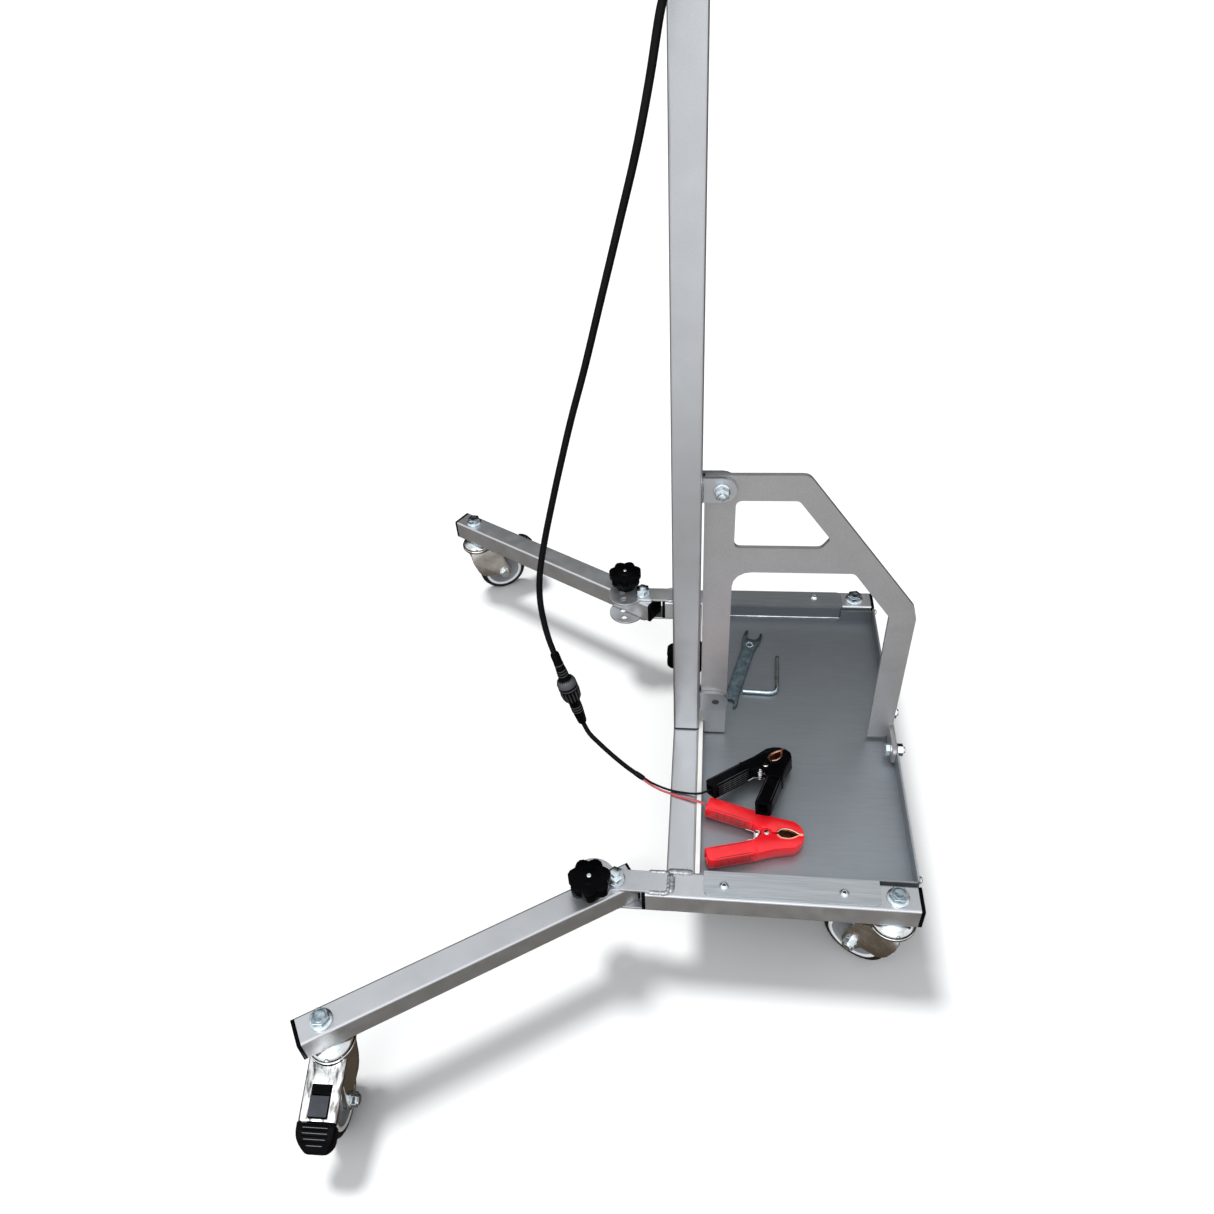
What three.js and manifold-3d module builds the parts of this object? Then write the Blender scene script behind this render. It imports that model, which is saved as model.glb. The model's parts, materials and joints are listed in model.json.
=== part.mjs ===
// Rolling stand base: square-tube frame with a folded tray, a mast held by a laser-cut brace,
// two splayed front legs, four swivel casters, and a battery lead with its clamps and two tools.
// Millimetres, +Z up, the floor at z = 0. X runs along the side tubes, Y across them.
import * as THREE from 'three';
import { mergeVertices } from 'three/addons/utils/BufferGeometryUtils.js';
import Module from 'manifold-3d';

const wasm = await Module();
wasm.setup();

// ---------------------------------------------------------------- driving dimensions
const gap = 0.3;
const weldTolerance = 1e-3;

// frame tubes, all 30 x 30 x 2
const tube = 30;
const wall = 2;
const cornerRadius = 2.2;
const deckTop = 140;
const deckBottom = deckTop - tube;
const halfWidth = 245.4;
const railY = halfWidth - tube / 2;
const railFront = -21.3;
const railRear = 259.5;
const plugCollar = 4;
const plugInsert = 12;
const boltHole = 5.3;

// hinge plates and legs
const plateThickness = 3;
const plateTailHalf = 12.5;
const plateTailEnd = 2;
const lobeRadius = 24.5;
const lobeX = -77.5;
const pivotX = -53;
const pivotShank = 5;
const pivotHole = 5.08;
const indexRadius = 30;
const indexStep = 28;
const indexHole = 4.2;
const nearSplay = 32.3;
const farSplay = 30.8;
const legOuter = 348.5;
const legInner = 17.7;
const casterReach = 324.5;

// star knobs
const knobRadius = 23;
const knobLobes = 7;
const mastKnobRadius = 26;
const mastKnobHeight = 82;
const studRadius = 3.9;

// casters
const wheelRadius = 37.5;
const trail = 33.5;
const axleRadius = 5;
const axleHole = 5.08;
const forkInner = 12.5;
const forkOuter = 15;
const hubBoss = forkInner - gap;
const swivelRadius = 22.5;
const coverEnd = 71.5;
const coverRise = 101.2;
const coverSlope = 0.2854;
const rearCasterX = 238;
const nearRearHeading = 147.3;
const farRearHeading = 160;
const nearFrontHeading = -88;
const farFrontHeading = 26;

// tray
const sheet = 2;
const trayFloorTop = 120.5;
const trayWallY = 214.9;
const trayFront = 32.2;
const trayRear = 262.5;
const flangeStart = 40;
const flangeEnd = 221;
const flangeOuterY = 242.4;
const flangeCorner = 7;

// mast, lugs and brace
const mastTop = 1015;
const lugThickness = 4.3;
const lugInnerY = 2.9;
const lugReach = 49.5;
const lugRadius = 14.5;
const upperLugZ = 490;
const lowerLugZ = 182.5;
const lugHole = 4.3;
const braceHalf = 2.5;
const glandHeight = 968;

// lead
const leadRadius = 3.25;
const lowerLeadRadius = 2.7;
const wireRadius = 1.3;

// clamps and tools
const clampThickness = 16;
const clampFloor = 120.9;
const toolThickness = 4;
const toolFloor = 120.8;
const keyRadius = 2.8;

// the middle of the footprint, brought to the origin
const footprintX = -49.98;
const footprintY = -24.22;

// ---------------------------------------------------------------- helpers
const rad = (degrees) => (degrees * Math.PI) / 180;

function toSolid(geometry) {
  const bare = new THREE.BufferGeometry();
  const source = geometry.index ? geometry.toNonIndexed() : geometry;
  bare.setAttribute('position', source.getAttribute('position'));
  const merged = mergeVertices(bare, weldTolerance);
  return new wasm.Manifold(
    new wasm.Mesh({
      numProp: 3,
      vertProperties: new Float32Array(merged.attributes.position.array),
      triVerts: new Uint32Array(merged.index.array),
    }),
  );
}

function toGeometry(solid) {
  const mesh = solid.getMesh();
  const geometry = new THREE.BufferGeometry();
  geometry.setAttribute('position', new THREE.BufferAttribute(mesh.vertProperties, 3));
  geometry.setIndex(new THREE.BufferAttribute(mesh.triVerts, 1));
  const flat = geometry.toNonIndexed();
  flat.computeVertexNormals();
  return flat;
}

function subtract(base, ...tools) {
  return toGeometry(tools.reduce((solid, tool) => solid.subtract(toSolid(tool)), toSolid(base)));
}

function unite(base, ...others) {
  return toGeometry(others.reduce((solid, other) => solid.add(toSolid(other)), toSolid(base)));
}

function overlap(base, other) {
  return toGeometry(toSolid(base).intersect(toSolid(other)));
}

// A closed outline, always run counter-clockwise.
function outline(points) {
  const corners = points.map(([x, y]) => new THREE.Vector2(x, y));
  if (THREE.ShapeUtils.isClockWise(corners)) corners.reverse();
  const shape = new THREE.Shape();
  corners.forEach(({ x, y }, i) => (i ? shape.lineTo(x, y) : shape.moveTo(x, y)));
  shape.closePath();
  return shape;
}

// A polygon whose corners are rounded; each point is [x, y, radius].
function rounded(points, segments = 3) {
  const out = [];
  points.forEach(([x, y, r], i) => {
    if (!r) {
      out.push([x, y]);
      return;
    }
    const a = points[(i + points.length - 1) % points.length];
    const b = points[(i + 1) % points.length];
    const toA = new THREE.Vector2(a[0] - x, a[1] - y).normalize();
    const toB = new THREE.Vector2(b[0] - x, b[1] - y).normalize();
    const half = toA.angleTo(toB) / 2;
    const away = r / Math.tan(half);
    const middle = toA.clone().add(toB).normalize().multiplyScalar(r / Math.sin(half));
    const start = toA.clone().multiplyScalar(away).sub(middle);
    const end = toB.clone().multiplyScalar(away).sub(middle);
    let turn = end.angle() - start.angle();
    if (turn > Math.PI) turn -= 2 * Math.PI;
    if (turn < -Math.PI) turn += 2 * Math.PI;
    for (let k = 0; k <= segments; k += 1) {
      const at = start.angle() + (turn * k) / segments;
      out.push([x + middle.x + r * Math.cos(at), y + middle.y + r * Math.sin(at)]);
    }
  });
  return out;
}

function opening(points) {
  const path = new THREE.Path();
  points.forEach(([x, y], i) => (i ? path.lineTo(x, y) : path.moveTo(x, y)));
  path.closePath();
  return path;
}

function circlePath(x, y, r, segments = 14) {
  return opening(circlePoints(x, y, r, 0, 360 - 360 / segments, segments - 1));
}

function circlePoints(x, y, r, from, to, segments) {
  return Array.from({ length: segments + 1 }, (_, k) => {
    const at = rad(from + ((to - from) * k) / segments);
    return [x + r * Math.cos(at), y + r * Math.sin(at)];
  });
}

// Extruded along +Z between two heights.
function prism(points, low, high, holes = []) {
  const shape = outline(points);
  holes.forEach((hole) => shape.holes.push(hole));
  const geometry = new THREE.ExtrudeGeometry(shape, { depth: high - low, bevelEnabled: false });
  return geometry.translate(0, 0, low);
}

// A drawing in the XZ plane, extruded along Y between two values.
function prismXZ(points, low, high, holes = []) {
  return prism(points, -high, -low, holes).rotateX(Math.PI / 2);
}

function block(x0, x1, y0, y1, z0, z1) {
  const geometry = new THREE.BoxGeometry(x1 - x0, y1 - y0, z1 - z0);
  return geometry.translate((x0 + x1) / 2, (y0 + y1) / 2, (z0 + z1) / 2);
}

function cylinder(x, y, low, high, r, segments = 24) {
  const geometry = new THREE.CylinderGeometry(r, r, high - low, segments);
  return geometry.rotateX(Math.PI / 2).translate(x, y, (low + high) / 2);
}

// A turned solid about Z; profile points are [radius, z] from the axis and back to it.
function turned(profile, segments = 20) {
  const points = profile.map(([r, z]) => new THREE.Vector2(r, z));
  return new THREE.LatheGeometry(points, segments).rotateX(Math.PI / 2);
}

function hexagon(acrossFlats) {
  const r = acrossFlats / Math.sqrt(3);
  return circlePoints(0, 0, r, 30, 330, 5);
}

function squarePoints(size, r) {
  const h = size / 2;
  return rounded([[-h, -h, r], [h, -h, r], [h, h, r], [-h, h, r]]);
}

// Hollow square tube along +X from x0 to x1.
function tubeX(x0, x1) {
  const bore = opening(squarePoints(tube - 2 * wall, 0));
  return prism(squarePoints(tube, cornerRadius), x0, x1, [bore])
    .rotateY(Math.PI / 2);
}

// Plastic end plug: a collar the size of the tube and an insert that fills its bore.
function plugX(collarFrom, collarTo, insertTo) {
  const inside = tube - 2 * wall - 2 * gap;
  const collar = prism(squarePoints(tube, cornerRadius), collarFrom, collarTo);
  const low = Math.min(insertTo, collarFrom + 1);
  const high = Math.max(insertTo, collarTo - 1);
  const insert = prism(squarePoints(inside, 1), low, high);
  return unite(collar, insert).rotateY(Math.PI / 2);
}

function curveThrough(points) {
  return new THREE.CatmullRomCurve3(points.map((p) => new THREE.Vector3(...p)), false, 'centripetal');
}

// A round cord of even section swept along a curve.
function cord(points, r, steps, sides = 8) {
  const section = outline(circlePoints(0, 0, r, 0, 360 - 360 / sides, sides - 1));
  return new THREE.ExtrudeGeometry(section, {
    steps,
    bevelEnabled: false,
    extrudePath: curveThrough(points),
  });
}

const model = new THREE.Group();
model.name = 'rolling_stand_base';

const finishes = {
  paint: { color: 0xb2b4b5, roughness: 0.5, metalness: 0.35 },
  zinc: { color: 0xc9d0d2, roughness: 0.28, metalness: 0.9 },
  chrome: { color: 0xd8dadb, roughness: 0.12, metalness: 1 },
  aluminium: { color: 0xaeb6bc, roughness: 0.4, metalness: 0.85 },
  blackPlastic: { color: 0x0d0d0e, roughness: 0.4, metalness: 0 },
  paleTrim: { color: 0xd9d6cf, roughness: 0.6, metalness: 0 },
  tyre: { color: 0x121213, roughness: 0.7, metalness: 0 },
  hub: { color: 0x4b5054, roughness: 0.5, metalness: 0 },
  blackCable: { color: 0x0b0b0d, roughness: 0.5, metalness: 0 },
  redPlastic: { color: 0xd8111c, roughness: 0.4, metalness: 0 },
  redWire: { color: 0xb03038, roughness: 0.5, metalness: 0 },
  toolSteel: { color: 0x3f4d52, roughness: 0.35, metalness: 0.8 },
};

function add(name, geometry, finish, matrix) {
  if (matrix) geometry.applyMatrix4(matrix);
  geometry.translate(-footprintX, -footprintY, 0);
  const mesh = new THREE.Mesh(geometry, new THREE.MeshStandardMaterial(finishes[finish]));
  mesh.name = name;
  model.add(mesh);
}

function placed(x, y, z, headingDegrees = 0) {
  return new THREE.Matrix4()
    .makeTranslation(x, y, z)
    .multiply(new THREE.Matrix4().makeRotationZ(rad(headingDegrees)));
}

// ---------------------------------------------------------------- frame
function sideTube(side) {
  const tubeSolid = tubeX(railFront, railRear).translate(0, 0, deckTop - tube / 2);
  const hole = cylinder(rearCasterX, 0, deckBottom - 1, deckTop + 1, boltHole, 14);
  return subtract(tubeSolid, hole).translate(0, side * railY, 0);
}

function crossTube() {
  const length = 2 * (halfWidth - tube - gap);
  return tubeX(-length / 2, length / 2)
    .rotateZ(Math.PI / 2)
    .translate(tube / 2, 0, deckTop - tube / 2);
}

function railPlug(side, rear) {
  const z = deckTop - tube / 2;
  const end = rear ? railRear : railFront;
  const sign = rear ? 1 : -1;
  const near = end + sign * gap;
  const far = end + sign * plugCollar;
  const plug = plugX(Math.min(near, far), Math.max(near, far), end - sign * plugInsert);
  return plug.translate(0, side * railY, z);
}

// Top or bottom plate of a leg hinge, drawn at the far side and mirrored for the near one.
function hingePlate(side, splay, low, withStudHole) {
  const outward = circlePoints(lobeX, 0, lobeRadius, 30.7, 329.3, 20);
  const tail = [[plateTailEnd, -plateTailHalf], [plateTailEnd, plateTailHalf]];
  const holes = [circlePath(pivotX, 0, boltHole)];
  [0, 1, 2].forEach((step) => {
    const at = rad(180 - splay + step * indexStep);
    const x = pivotX + indexRadius * Math.cos(at);
    const y = indexRadius * Math.sin(at);
    const r = step === 0 && withStudHole ? studRadius + gap : indexHole;
    holes.push(circlePath(x, y, r));
  });
  const plate = prism([...outward, ...tail], low, low + plateThickness, holes);
  if (side > 0) return plate.translate(0, railY, 0);
  return plate.rotateX(Math.PI).translate(0, -railY, 2 * low + plateThickness);
}

// Folded tray: floor, four walls, and a flange that lies on each side tube.
function tray() {
  const floorLow = trayFloorTop - sheet;
  const wallLow = floorLow;
  const flangeLow = deckTop + gap;
  const rearInset = trayWallY - 4.5;
  const floor = prism(
    [
      [trayFront, -trayWallY],
      [flangeEnd, -trayWallY],
      [flangeEnd, -rearInset],
      [trayRear, -rearInset],
      [trayRear, rearInset],
      [flangeEnd, rearInset],
      [flangeEnd, trayWallY],
      [trayFront, trayWallY],
    ],
    floorLow,
    trayFloorTop,
  );
  const front = block(trayFront, trayFront + sheet, -trayWallY, trayWallY, wallLow, deckTop - 3);
  const rear = block(trayRear - sheet, trayRear, -rearInset, rearInset, wallLow, deckTop + 1.5);
  const sides = [-1, 1].flatMap((side) => {
    const inner = side * (trayWallY - sheet);
    const outer = side * trayWallY;
    const y0 = Math.min(inner, outer);
    const y1 = Math.max(inner, outer);
    const tall = block(flangeStart, flangeEnd, y0, y1, wallLow, flangeLow + sheet);
    const short = block(trayFront + 4, flangeStart + 1, y0, y1, wallLow, deckTop - 3);
    const rearInner = side * (rearInset - sheet);
    const rearOuter = side * rearInset;
    const r0 = Math.min(rearInner, rearOuter);
    const r1 = Math.max(rearInner, rearOuter);
    const rearWall = block(flangeEnd - sheet, trayRear, r0, r1, wallLow, deckTop - 2);
    const flange = prism(
      rounded([
        [flangeStart, side * (trayWallY - 0.5), 0],
        [flangeStart, side * flangeOuterY, flangeCorner],
        [flangeEnd, side * flangeOuterY, flangeCorner],
        [flangeEnd, side * (trayWallY - 0.5), 0],
      ]),
      flangeLow,
      flangeLow + sheet,
    );
    return [tall, short, rearWall, flange];
  });
  return unite(floor, front, rear, ...sides);
}

// Pale edging strip pushed over the tray's front wall.
function trayEdging() {
  const outer = block(trayFront - 1.8, trayFront + 3.2, -trayWallY + gap, trayWallY - gap, 129, deckTop);
  const slot = block(
    trayFront - gap,
    trayFront + sheet + gap,
    -trayWallY,
    trayWallY,
    128,
    deckTop - 3 + gap,
  );
  return subtract(outer, slot);
}

// ---------------------------------------------------------------- mast and brace
function mast() {
  const bore = opening(squarePoints(tube - 2 * wall, 0));
  const low = deckTop + gap + 2;
  const pipe = prism(squarePoints(tube, cornerRadius), low, mastTop - 1, [bore]);
  const cap = prism(squarePoints(tube, cornerRadius), mastTop - wall, mastTop);
  const body = unite(pipe, cap).translate(tube / 2, 0, 0);
  const lugs = [upperLugZ, lowerLugZ].flatMap((z) =>
    [-1, 1].map((side) => {
      const profile = [
        [tube - 0.5, z - lugRadius],
        ...circlePoints(lugReach, z, lugRadius, -90, 90, 10),
        [tube - 0.5, z + lugRadius],
      ];
      const near = side * lugInnerY;
      const far = side * (lugInnerY + lugThickness);
      const hole = circlePath(lugReach, z, lugHole, 16);
      return prismXZ(profile, Math.min(near, far), Math.max(near, far), [hole]);
    }),
  );
  const stud = new THREE.CylinderGeometry(studRadius + gap, studRadius + gap, 8, 16);
  stud.translate(tube / 2, tube / 2, deckTop + mastKnobHeight);
  const tail = new THREE.CylinderGeometry(leadRadius + gap, leadRadius + gap, 8, 16);
  tail.translate(tube / 2, -tube / 2, glandHeight);
  return subtract(unite(body, ...lugs), stud, tail);
}

// Black plug under the mast, standing on the cross tube.
function mastFoot() {
  const inside = tube - 2 * wall - 2 * gap;
  const collar = prism(squarePoints(tube, cornerRadius), deckTop + gap, deckTop + 2);
  const insert = prism(squarePoints(inside, 1), deckTop + 1, deckTop + 22);
  return unite(collar, insert).translate(tube / 2, 0, 0);
}

// Laser-cut brace with its welded foot plate.
function bracePlate() {
  const profile = rounded(
    [
      [32.3, 505, 1],
      [133, 505, 12],
      [255.5, 337.5, 16],
      [260, 320, 10],
      [260, 149, 0],
      [255.7, 147, 0],
      [255.7, 129, 0],
      [252, 125.5, 0],
      [232.5, 125.5, 0],
      [231.5, 322, 6],
      [189, 382, 8],
      [63, 382, 20],
      [62, 122.8, 2],
      [37, 122.8, 0],
      [37, 143, 0],
      [32.3, 143, 0],
    ],
    4,
  );
  const window = opening(
    rounded([[63.5, 474.5, 6], [125.5, 474.5, 6], [160, 427, 5], [151.5, 414.5, 7], [63.5, 414.5, 6]]),
  );
  const bolt = circlePath(lugReach, upperLugZ, lugHole, 16);
  const pin = circlePath(lugReach, lowerLugZ, lugHole, 16);
  const plate = prismXZ(profile, -braceHalf, braceHalf, [window, bolt, pin]);
  const footHole = (y) =>
    new THREE.CylinderGeometry(4.3, 4.3, 12, 16).rotateZ(Math.PI / 2).translate(258, y, 135);
  const foot = prism(
    rounded([[-6, -42, 6], [16, -42, 6], [16, 42, 6], [-6, 42, 6]]),
    0,
    4,
  )
    .rotateY(-Math.PI / 2)
    .translate(260.2, 0, 128);
  return unite(subtract(foot, footHole(-29.5), footHole(29.5)), plate, block(255, 257, -2.5, 2.5, 129, 146));
}

// Through bolt with its washers and nut at the mast's upper lugs.
function braceBolt() {
  const reach = lugInnerY + lugThickness + gap;
  const shank = cylinder(0, 0, -reach - 12.5, reach + 1, 4, 16);
  const nutWasher = cylinder(0, 0, -reach - 1.6, -reach, 8.4, 20);
  const nut = prism(hexagon(13), -reach - 8.2, -reach - 1);
  const headWasher = cylinder(0, 0, reach, reach + 1.6, 8.4, 20);
  const head = prism(hexagon(13), reach + 1, reach + 6.8);
  return unite(shank, nutWasher, nut, headWasher, head)
    .rotateX(-Math.PI / 2)
    .translate(lugReach, 0, upperLugZ);
}

// ---------------------------------------------------------------- knobs
function starOutline(radius, lobes) {
  const inner = radius * 0.8;
  return Array.from({ length: lobes * 6 }, (_, k) => {
    const at = (2 * Math.PI * k) / (lobes * 6);
    const wave = 0.5 + 0.5 * Math.cos(at * lobes);
    const r = inner + (radius - inner) * Math.pow(wave, 0.7);
    return [r * Math.cos(at), r * Math.sin(at)];
  });
}

// Star knob about Z: boss, lobed head with a domed crown, and the stud below it.
function starKnob(radius, bossRadius, bossHeight, headHeight, studLength) {
  const head = new THREE.ExtrudeGeometry(outline(starOutline(radius - 2, knobLobes)), {
    depth: headHeight - 4,
    bevelEnabled: true,
    bevelThickness: 2,
    bevelSize: 2,
    bevelSegments: 2,
  }).translate(0, 0, bossHeight + 2);
  const boss = turned(
    [[0, 0], [bossRadius, 0], [bossRadius * 1.08, bossHeight + 3], [0, bossHeight + 3]],
    24,
  );
  const crown = turned(
    [
      [0, bossHeight + headHeight - 1],
      [radius * 0.5, bossHeight + headHeight - 1],
      [radius * 0.42, bossHeight + headHeight + 1],
      [0, bossHeight + headHeight + 1.6],
    ],
    20,
  );
  const stud = cylinder(0, 0, -studLength, 1, studRadius, 16);
  return unite(head, boss, crown, stud);
}

// ---------------------------------------------------------------- legs
// Drawn with the pivot at the origin and the leg running out along +X.
function legTube() {
  const body = tubeX(-legInner, legOuter);
  const pivot = cylinder(0, 0, -tube, tube, pivotHole, 24);
  const index = cylinder(indexRadius, 0, -tube, tube, indexHole, 12);
  const caster = cylinder(casterReach, 0, -tube, tube, boltHole, 14);
  return subtract(body, pivot, index, caster);
}

function pivotBolt() {
  const top = tube / 2 + gap + plateThickness + gap;
  const shank = cylinder(0, 0, -top - 1, top + 13, pivotShank, 24);
  const washer = cylinder(0, 0, top, top + 1.8, 10, 18);
  const nut = prism(hexagon(17), top + 1, top + 9.5);
  const head = prism(hexagon(17), -top - 6.4, -top);
  return unite(shank, washer, nut, head);
}

// ---------------------------------------------------------------- casters
// Drawn with the swivel axis on Z at the origin, the floor at z = 0 and the wheel trailing along +X.
function casterStem() {
  const top = deckTop + gap;
  const washer = cylinder(0, 0, top, top + 1.8, 11, 18);
  const head = prism(hexagon(17), top + 1, top + 8.2);
  const body = turned(
    [
      [0, 94.3],
      [9, 94.3],
      [9, 96.7],
      [6, 96.7],
      [6, 99.8],
      [swivelRadius - 0.4, 99.8],
      [swivelRadius, 102],
      [16.5, 105.6],
      [9.5, 107.8],
      [9.5, deckBottom - gap],
      [5, deckBottom - gap],
      [5, top + 1],
      [0, top + 1],
    ],
    20,
  );
  return unite(body, washer, head);
}

function fork() {
  const plate = prism(
    rounded([[-17, -forkOuter, 7], [15, -forkOuter, 3], [15, forkOuter, 3], [-17, forkOuter, 7]], 4),
    97,
    99.5,
    [circlePath(0, 0, 6.08, 24)],
  );
  const profile = [
    [-15, 98],
    [-16.5, 82],
    [-14.9, 70.5],
    [-8.2, 50],
    [-3, 42.5],
    [3, 38.5],
    [21, 38],
    ...circlePoints(trail, wheelRadius, 10.5, 200, 370, 6),
    [32, 78],
    [18.5, 87.5],
    [14.5, 90],
    [14.5, 98],
  ];
  const cheeks = [-1, 1].map((side) => {
    const y0 = Math.min(side * forkInner, side * forkOuter);
    const y1 = Math.max(side * forkInner, side * forkOuter);
    return prismXZ(profile, y0, y1);
  });
  const axle = unite(
    cylinder(0, 0, -forkOuter - 2, forkOuter + 8.5, axleRadius, 24),
    prism(hexagon(13), -forkOuter - 5.5, -forkOuter + 0.5),
    prism(hexagon(13), forkOuter - 0.5, forkOuter + 6.5),
  )
    .rotateX(-Math.PI / 2)
    .translate(trail, 0, wheelRadius);
  return unite(plate, ...cheeks, axle);
}

function hub() {
  return turned(
    [
      [axleHole, -hubBoss],
      [8.5, -hubBoss],
      [8.5, -5.5],
      [24.2, -5.5],
      [25.6, -7.5],
      [29.2, -7.5],
      [29.2, 7.5],
      [25.6, 7.5],
      [24.2, 5.5],
      [8.5, 5.5],
      [8.5, hubBoss],
      [axleHole, hubBoss],
      [axleHole, -hubBoss],
    ],
    20,
  )
    .rotateX(Math.PI / 2)
    .translate(trail, 0, wheelRadius);
}

function tyre() {
  return turned(
    [
      [29.5, -7.6],
      [33, -8.6],
      [36, -6.6],
      [wheelRadius, -2.6],
      [wheelRadius, 2.6],
      [36, 6.6],
      [33, 8.6],
      [29.5, 7.6],
      [29.5, -7.6],
    ],
    32,
  )
    .rotateX(Math.PI / 2)
    .translate(trail, 0, wheelRadius);
}

// Chrome brake cover: a channel that slopes down from an arc about the swivel, with a window.
function brakeCover() {
  const section = [
    [-19, -8],
    [-19, -2.2],
    [-17.4, -0.6],
    [-13.5, 0],
    [13.5, 0],
    [17.4, -0.6],
    [19, -2.2],
    [19, -8],
    [17.4, -8],
    [17.4, -2.9],
    [16.4, -2.1],
    [13.2, -1.6],
    [-13.2, -1.6],
    [-16.4, -2.1],
    [-17.4, -2.9],
    [-17.4, -8],
  ];
  const channel = prism(section.map(([y, z]) => [-z, y]), 12, coverEnd).rotateY(Math.PI / 2);
  const slope = new THREE.Matrix4().set(1, 0, 0, 0, 0, 1, 0, 0, -coverSlope, 0, 1, coverRise, 0, 0, 0, 1);
  channel.applyMatrix4(slope);
  const window = block(40.5, 69.2, -10.1, 10.1, 70, 100);
  return subtract(channel, cylinder(0, 0, 80, 105, swivelRadius + 2.5, 48), window);
}

// Black pedal moulding: grooved toe, tongue under the cover and the rocker in its window.
function brakePedal() {
  const side = [
    [72.4, 81],
    [79, 78.8],
    [86, 74.2],
    [91.5, 68],
    [94.5, 61],
    [93, 58.5],
    [86, 59],
    [72.4, 67],
  ];
  const toe = overlap(
    prismXZ(side, -19, 19),
    prism(rounded([[60, -19, 0], [95, -19, 15.5], [95, 19, 15.5], [60, 19, 0]], 7), 50, 100),
  );
  const grooves = [[74.4, 80.3], [78.8, 78.8], [83.2, 76.2], [87.6, 72.7]].map(([x, z]) =>
    block(x - 0.5, x + 0.5, -13, 13, z - 1, z + 4),
  );
  const tongue = prismXZ([[40, 86.2], [73, 78.4], [73, 74.5], [40, 82.5]], -10, 10);
  const rocker = prismXZ(
    [[41, 84], [41, 91.4], [48.6, 89.4], [50, 86.9], [53, 87.4], [68.6, 83.4], [68.6, 77]],
    -9.6,
    9.6,
  );
  return unite(subtract(toe, ...grooves), tongue, rocker);
}

function caster(label, x, y, heading, braked) {
  const at = placed(x, y, 0, heading);
  add(label + '_stem', casterStem(), 'zinc', at);
  add(label + '_fork', fork(), 'zinc', at);
  add(label + '_hub', hub(), 'hub', at);
  add(label + '_tyre', tyre(), 'tyre', at);
  if (braked) {
    add(label + '_brake_cover', brakeCover(), 'chrome', at);
    add(label + '_brake_pedal', brakePedal(), 'blackPlastic', at);
  }
}

// ---------------------------------------------------------------- battery clamps
// One half, drawn flat with the hinge pin at the origin and the nose along +X.
const halfProfile = [
  [-67.4, 26.3],
  [-14.4, 10.8],
  [-3.2, 0.7],
  [11, 1.5],
  [15, 5.5],
  [23, 6.5],
  [31, 3.5],
  [35, 0.9],
  [40.5, 0.7],
  [40.5, 4],
  [37, 11.5],
  [30, 17],
  [8, 21],
  [-9.6, 27.2],
  [-59.2, 41.7],
  [-62.2, 41.2],
  [-63.6, 39],
];
const earOuter = 5.5;
const earClear = 6.1;
const pinRadius = 2;
const pinHole = 2.07;

function clampPocket() {
  const angle = Math.atan2(42.7 - 26.3, -62.6 + 67.4) - Math.PI / 2;
  return block(-2, 14, -5, 5, 3, clampThickness - 1.5)
    .rotateZ(angle)
    .translate(-65, 34.5, 0);
}

// Half with the lead's handle; it carries the hinge pin and the middle ear.
function clampHalfA() {
  const h = clampThickness;
  const body = prism(halfProfile, 0, h);
  const clearTop = cylinder(0, 0, h / 2 + 2.6, h + 1, earClear, 20);
  const clearLow = cylinder(0, 0, -1, h / 2 - 2.6, earClear, 20);
  const ear = cylinder(0, 0, h / 2 - 2.6, h / 2 + 2.6, earOuter, 20);
  const bridge = prism([[-3, 0], [5, 0], [5, 8], [-6, 8]], h / 2 - 2.6, h / 2 + 2.6);
  const pin = cylinder(0, 0, 0.8, h - 0.8, pinRadius, 16);
  return subtract(unite(subtract(body, clearTop, clearLow), ear, bridge, pin), clampPocket());
}

// The other half, mirrored, with the two outer ears.
function clampHalfB() {
  const h = clampThickness;
  const body = prism(halfProfile.map(([x, y]) => [x, -y]).reverse(), 0, h);
  const clear = cylinder(0, 0, h / 2 - 2.9, h / 2 + 2.9, earClear, 20);
  const ears = [[1, h / 2 - 2.9], [h / 2 + 2.9, h - 1]].flatMap(([low, high]) => [
    cylinder(0, 0, low, high, earOuter, 20),
    prism([[5, 0], [-3, 0], [-6, -8], [5, -8]], low, high),
  ]);
  const hole = cylinder(0, 0, -1, h + 1, pinHole, 16);
  const pocket = clampPocket().scale(1, -1, 1);
  const index = pocket.toNonIndexed().getAttribute('position').array;
  for (let i = 0; i < index.length; i += 9) {
    for (let k = 0; k < 3; k += 1) {
      const kept = index[i + 3 + k];
      index[i + 3 + k] = index[i + 6 + k];
      index[i + 6 + k] = kept;
    }
  }
  const turnedPocket = new THREE.BufferGeometry();
  turnedPocket.setAttribute('position', new THREE.BufferAttribute(index, 3));
  return subtract(unite(subtract(body, clear), ...ears), hole, turnedPocket);
}

// ---------------------------------------------------------------- loose tools
function wrench() {
  const outlinePoints = [
    [-8, -70],
    [-10.5, -62],
    [-8.5, -50],
    [-8.5, 38],
    [-11.5, 52],
    [-12, 62],
    [-10.5, 73],
    [-7.6, 74],
    [-8.2, 62],
    [-3, 57.5],
    [4, 57.5],
    [8.6, 62],
    [9.2, 72],
    [12, 71],
    [12.5, 60],
    [11.5, 52],
    [8.5, 38],
    [8.5, -50],
    [10, -62],
    [8.5, -69],
    [6, -69.5],
    [6.4, -61],
    [2.6, -57.5],
    [-2.6, -57.5],
    [-6, -61],
    [-5.6, -70],
  ];
  return prism(outlinePoints.reverse(), 0, toolThickness);
}

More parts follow.
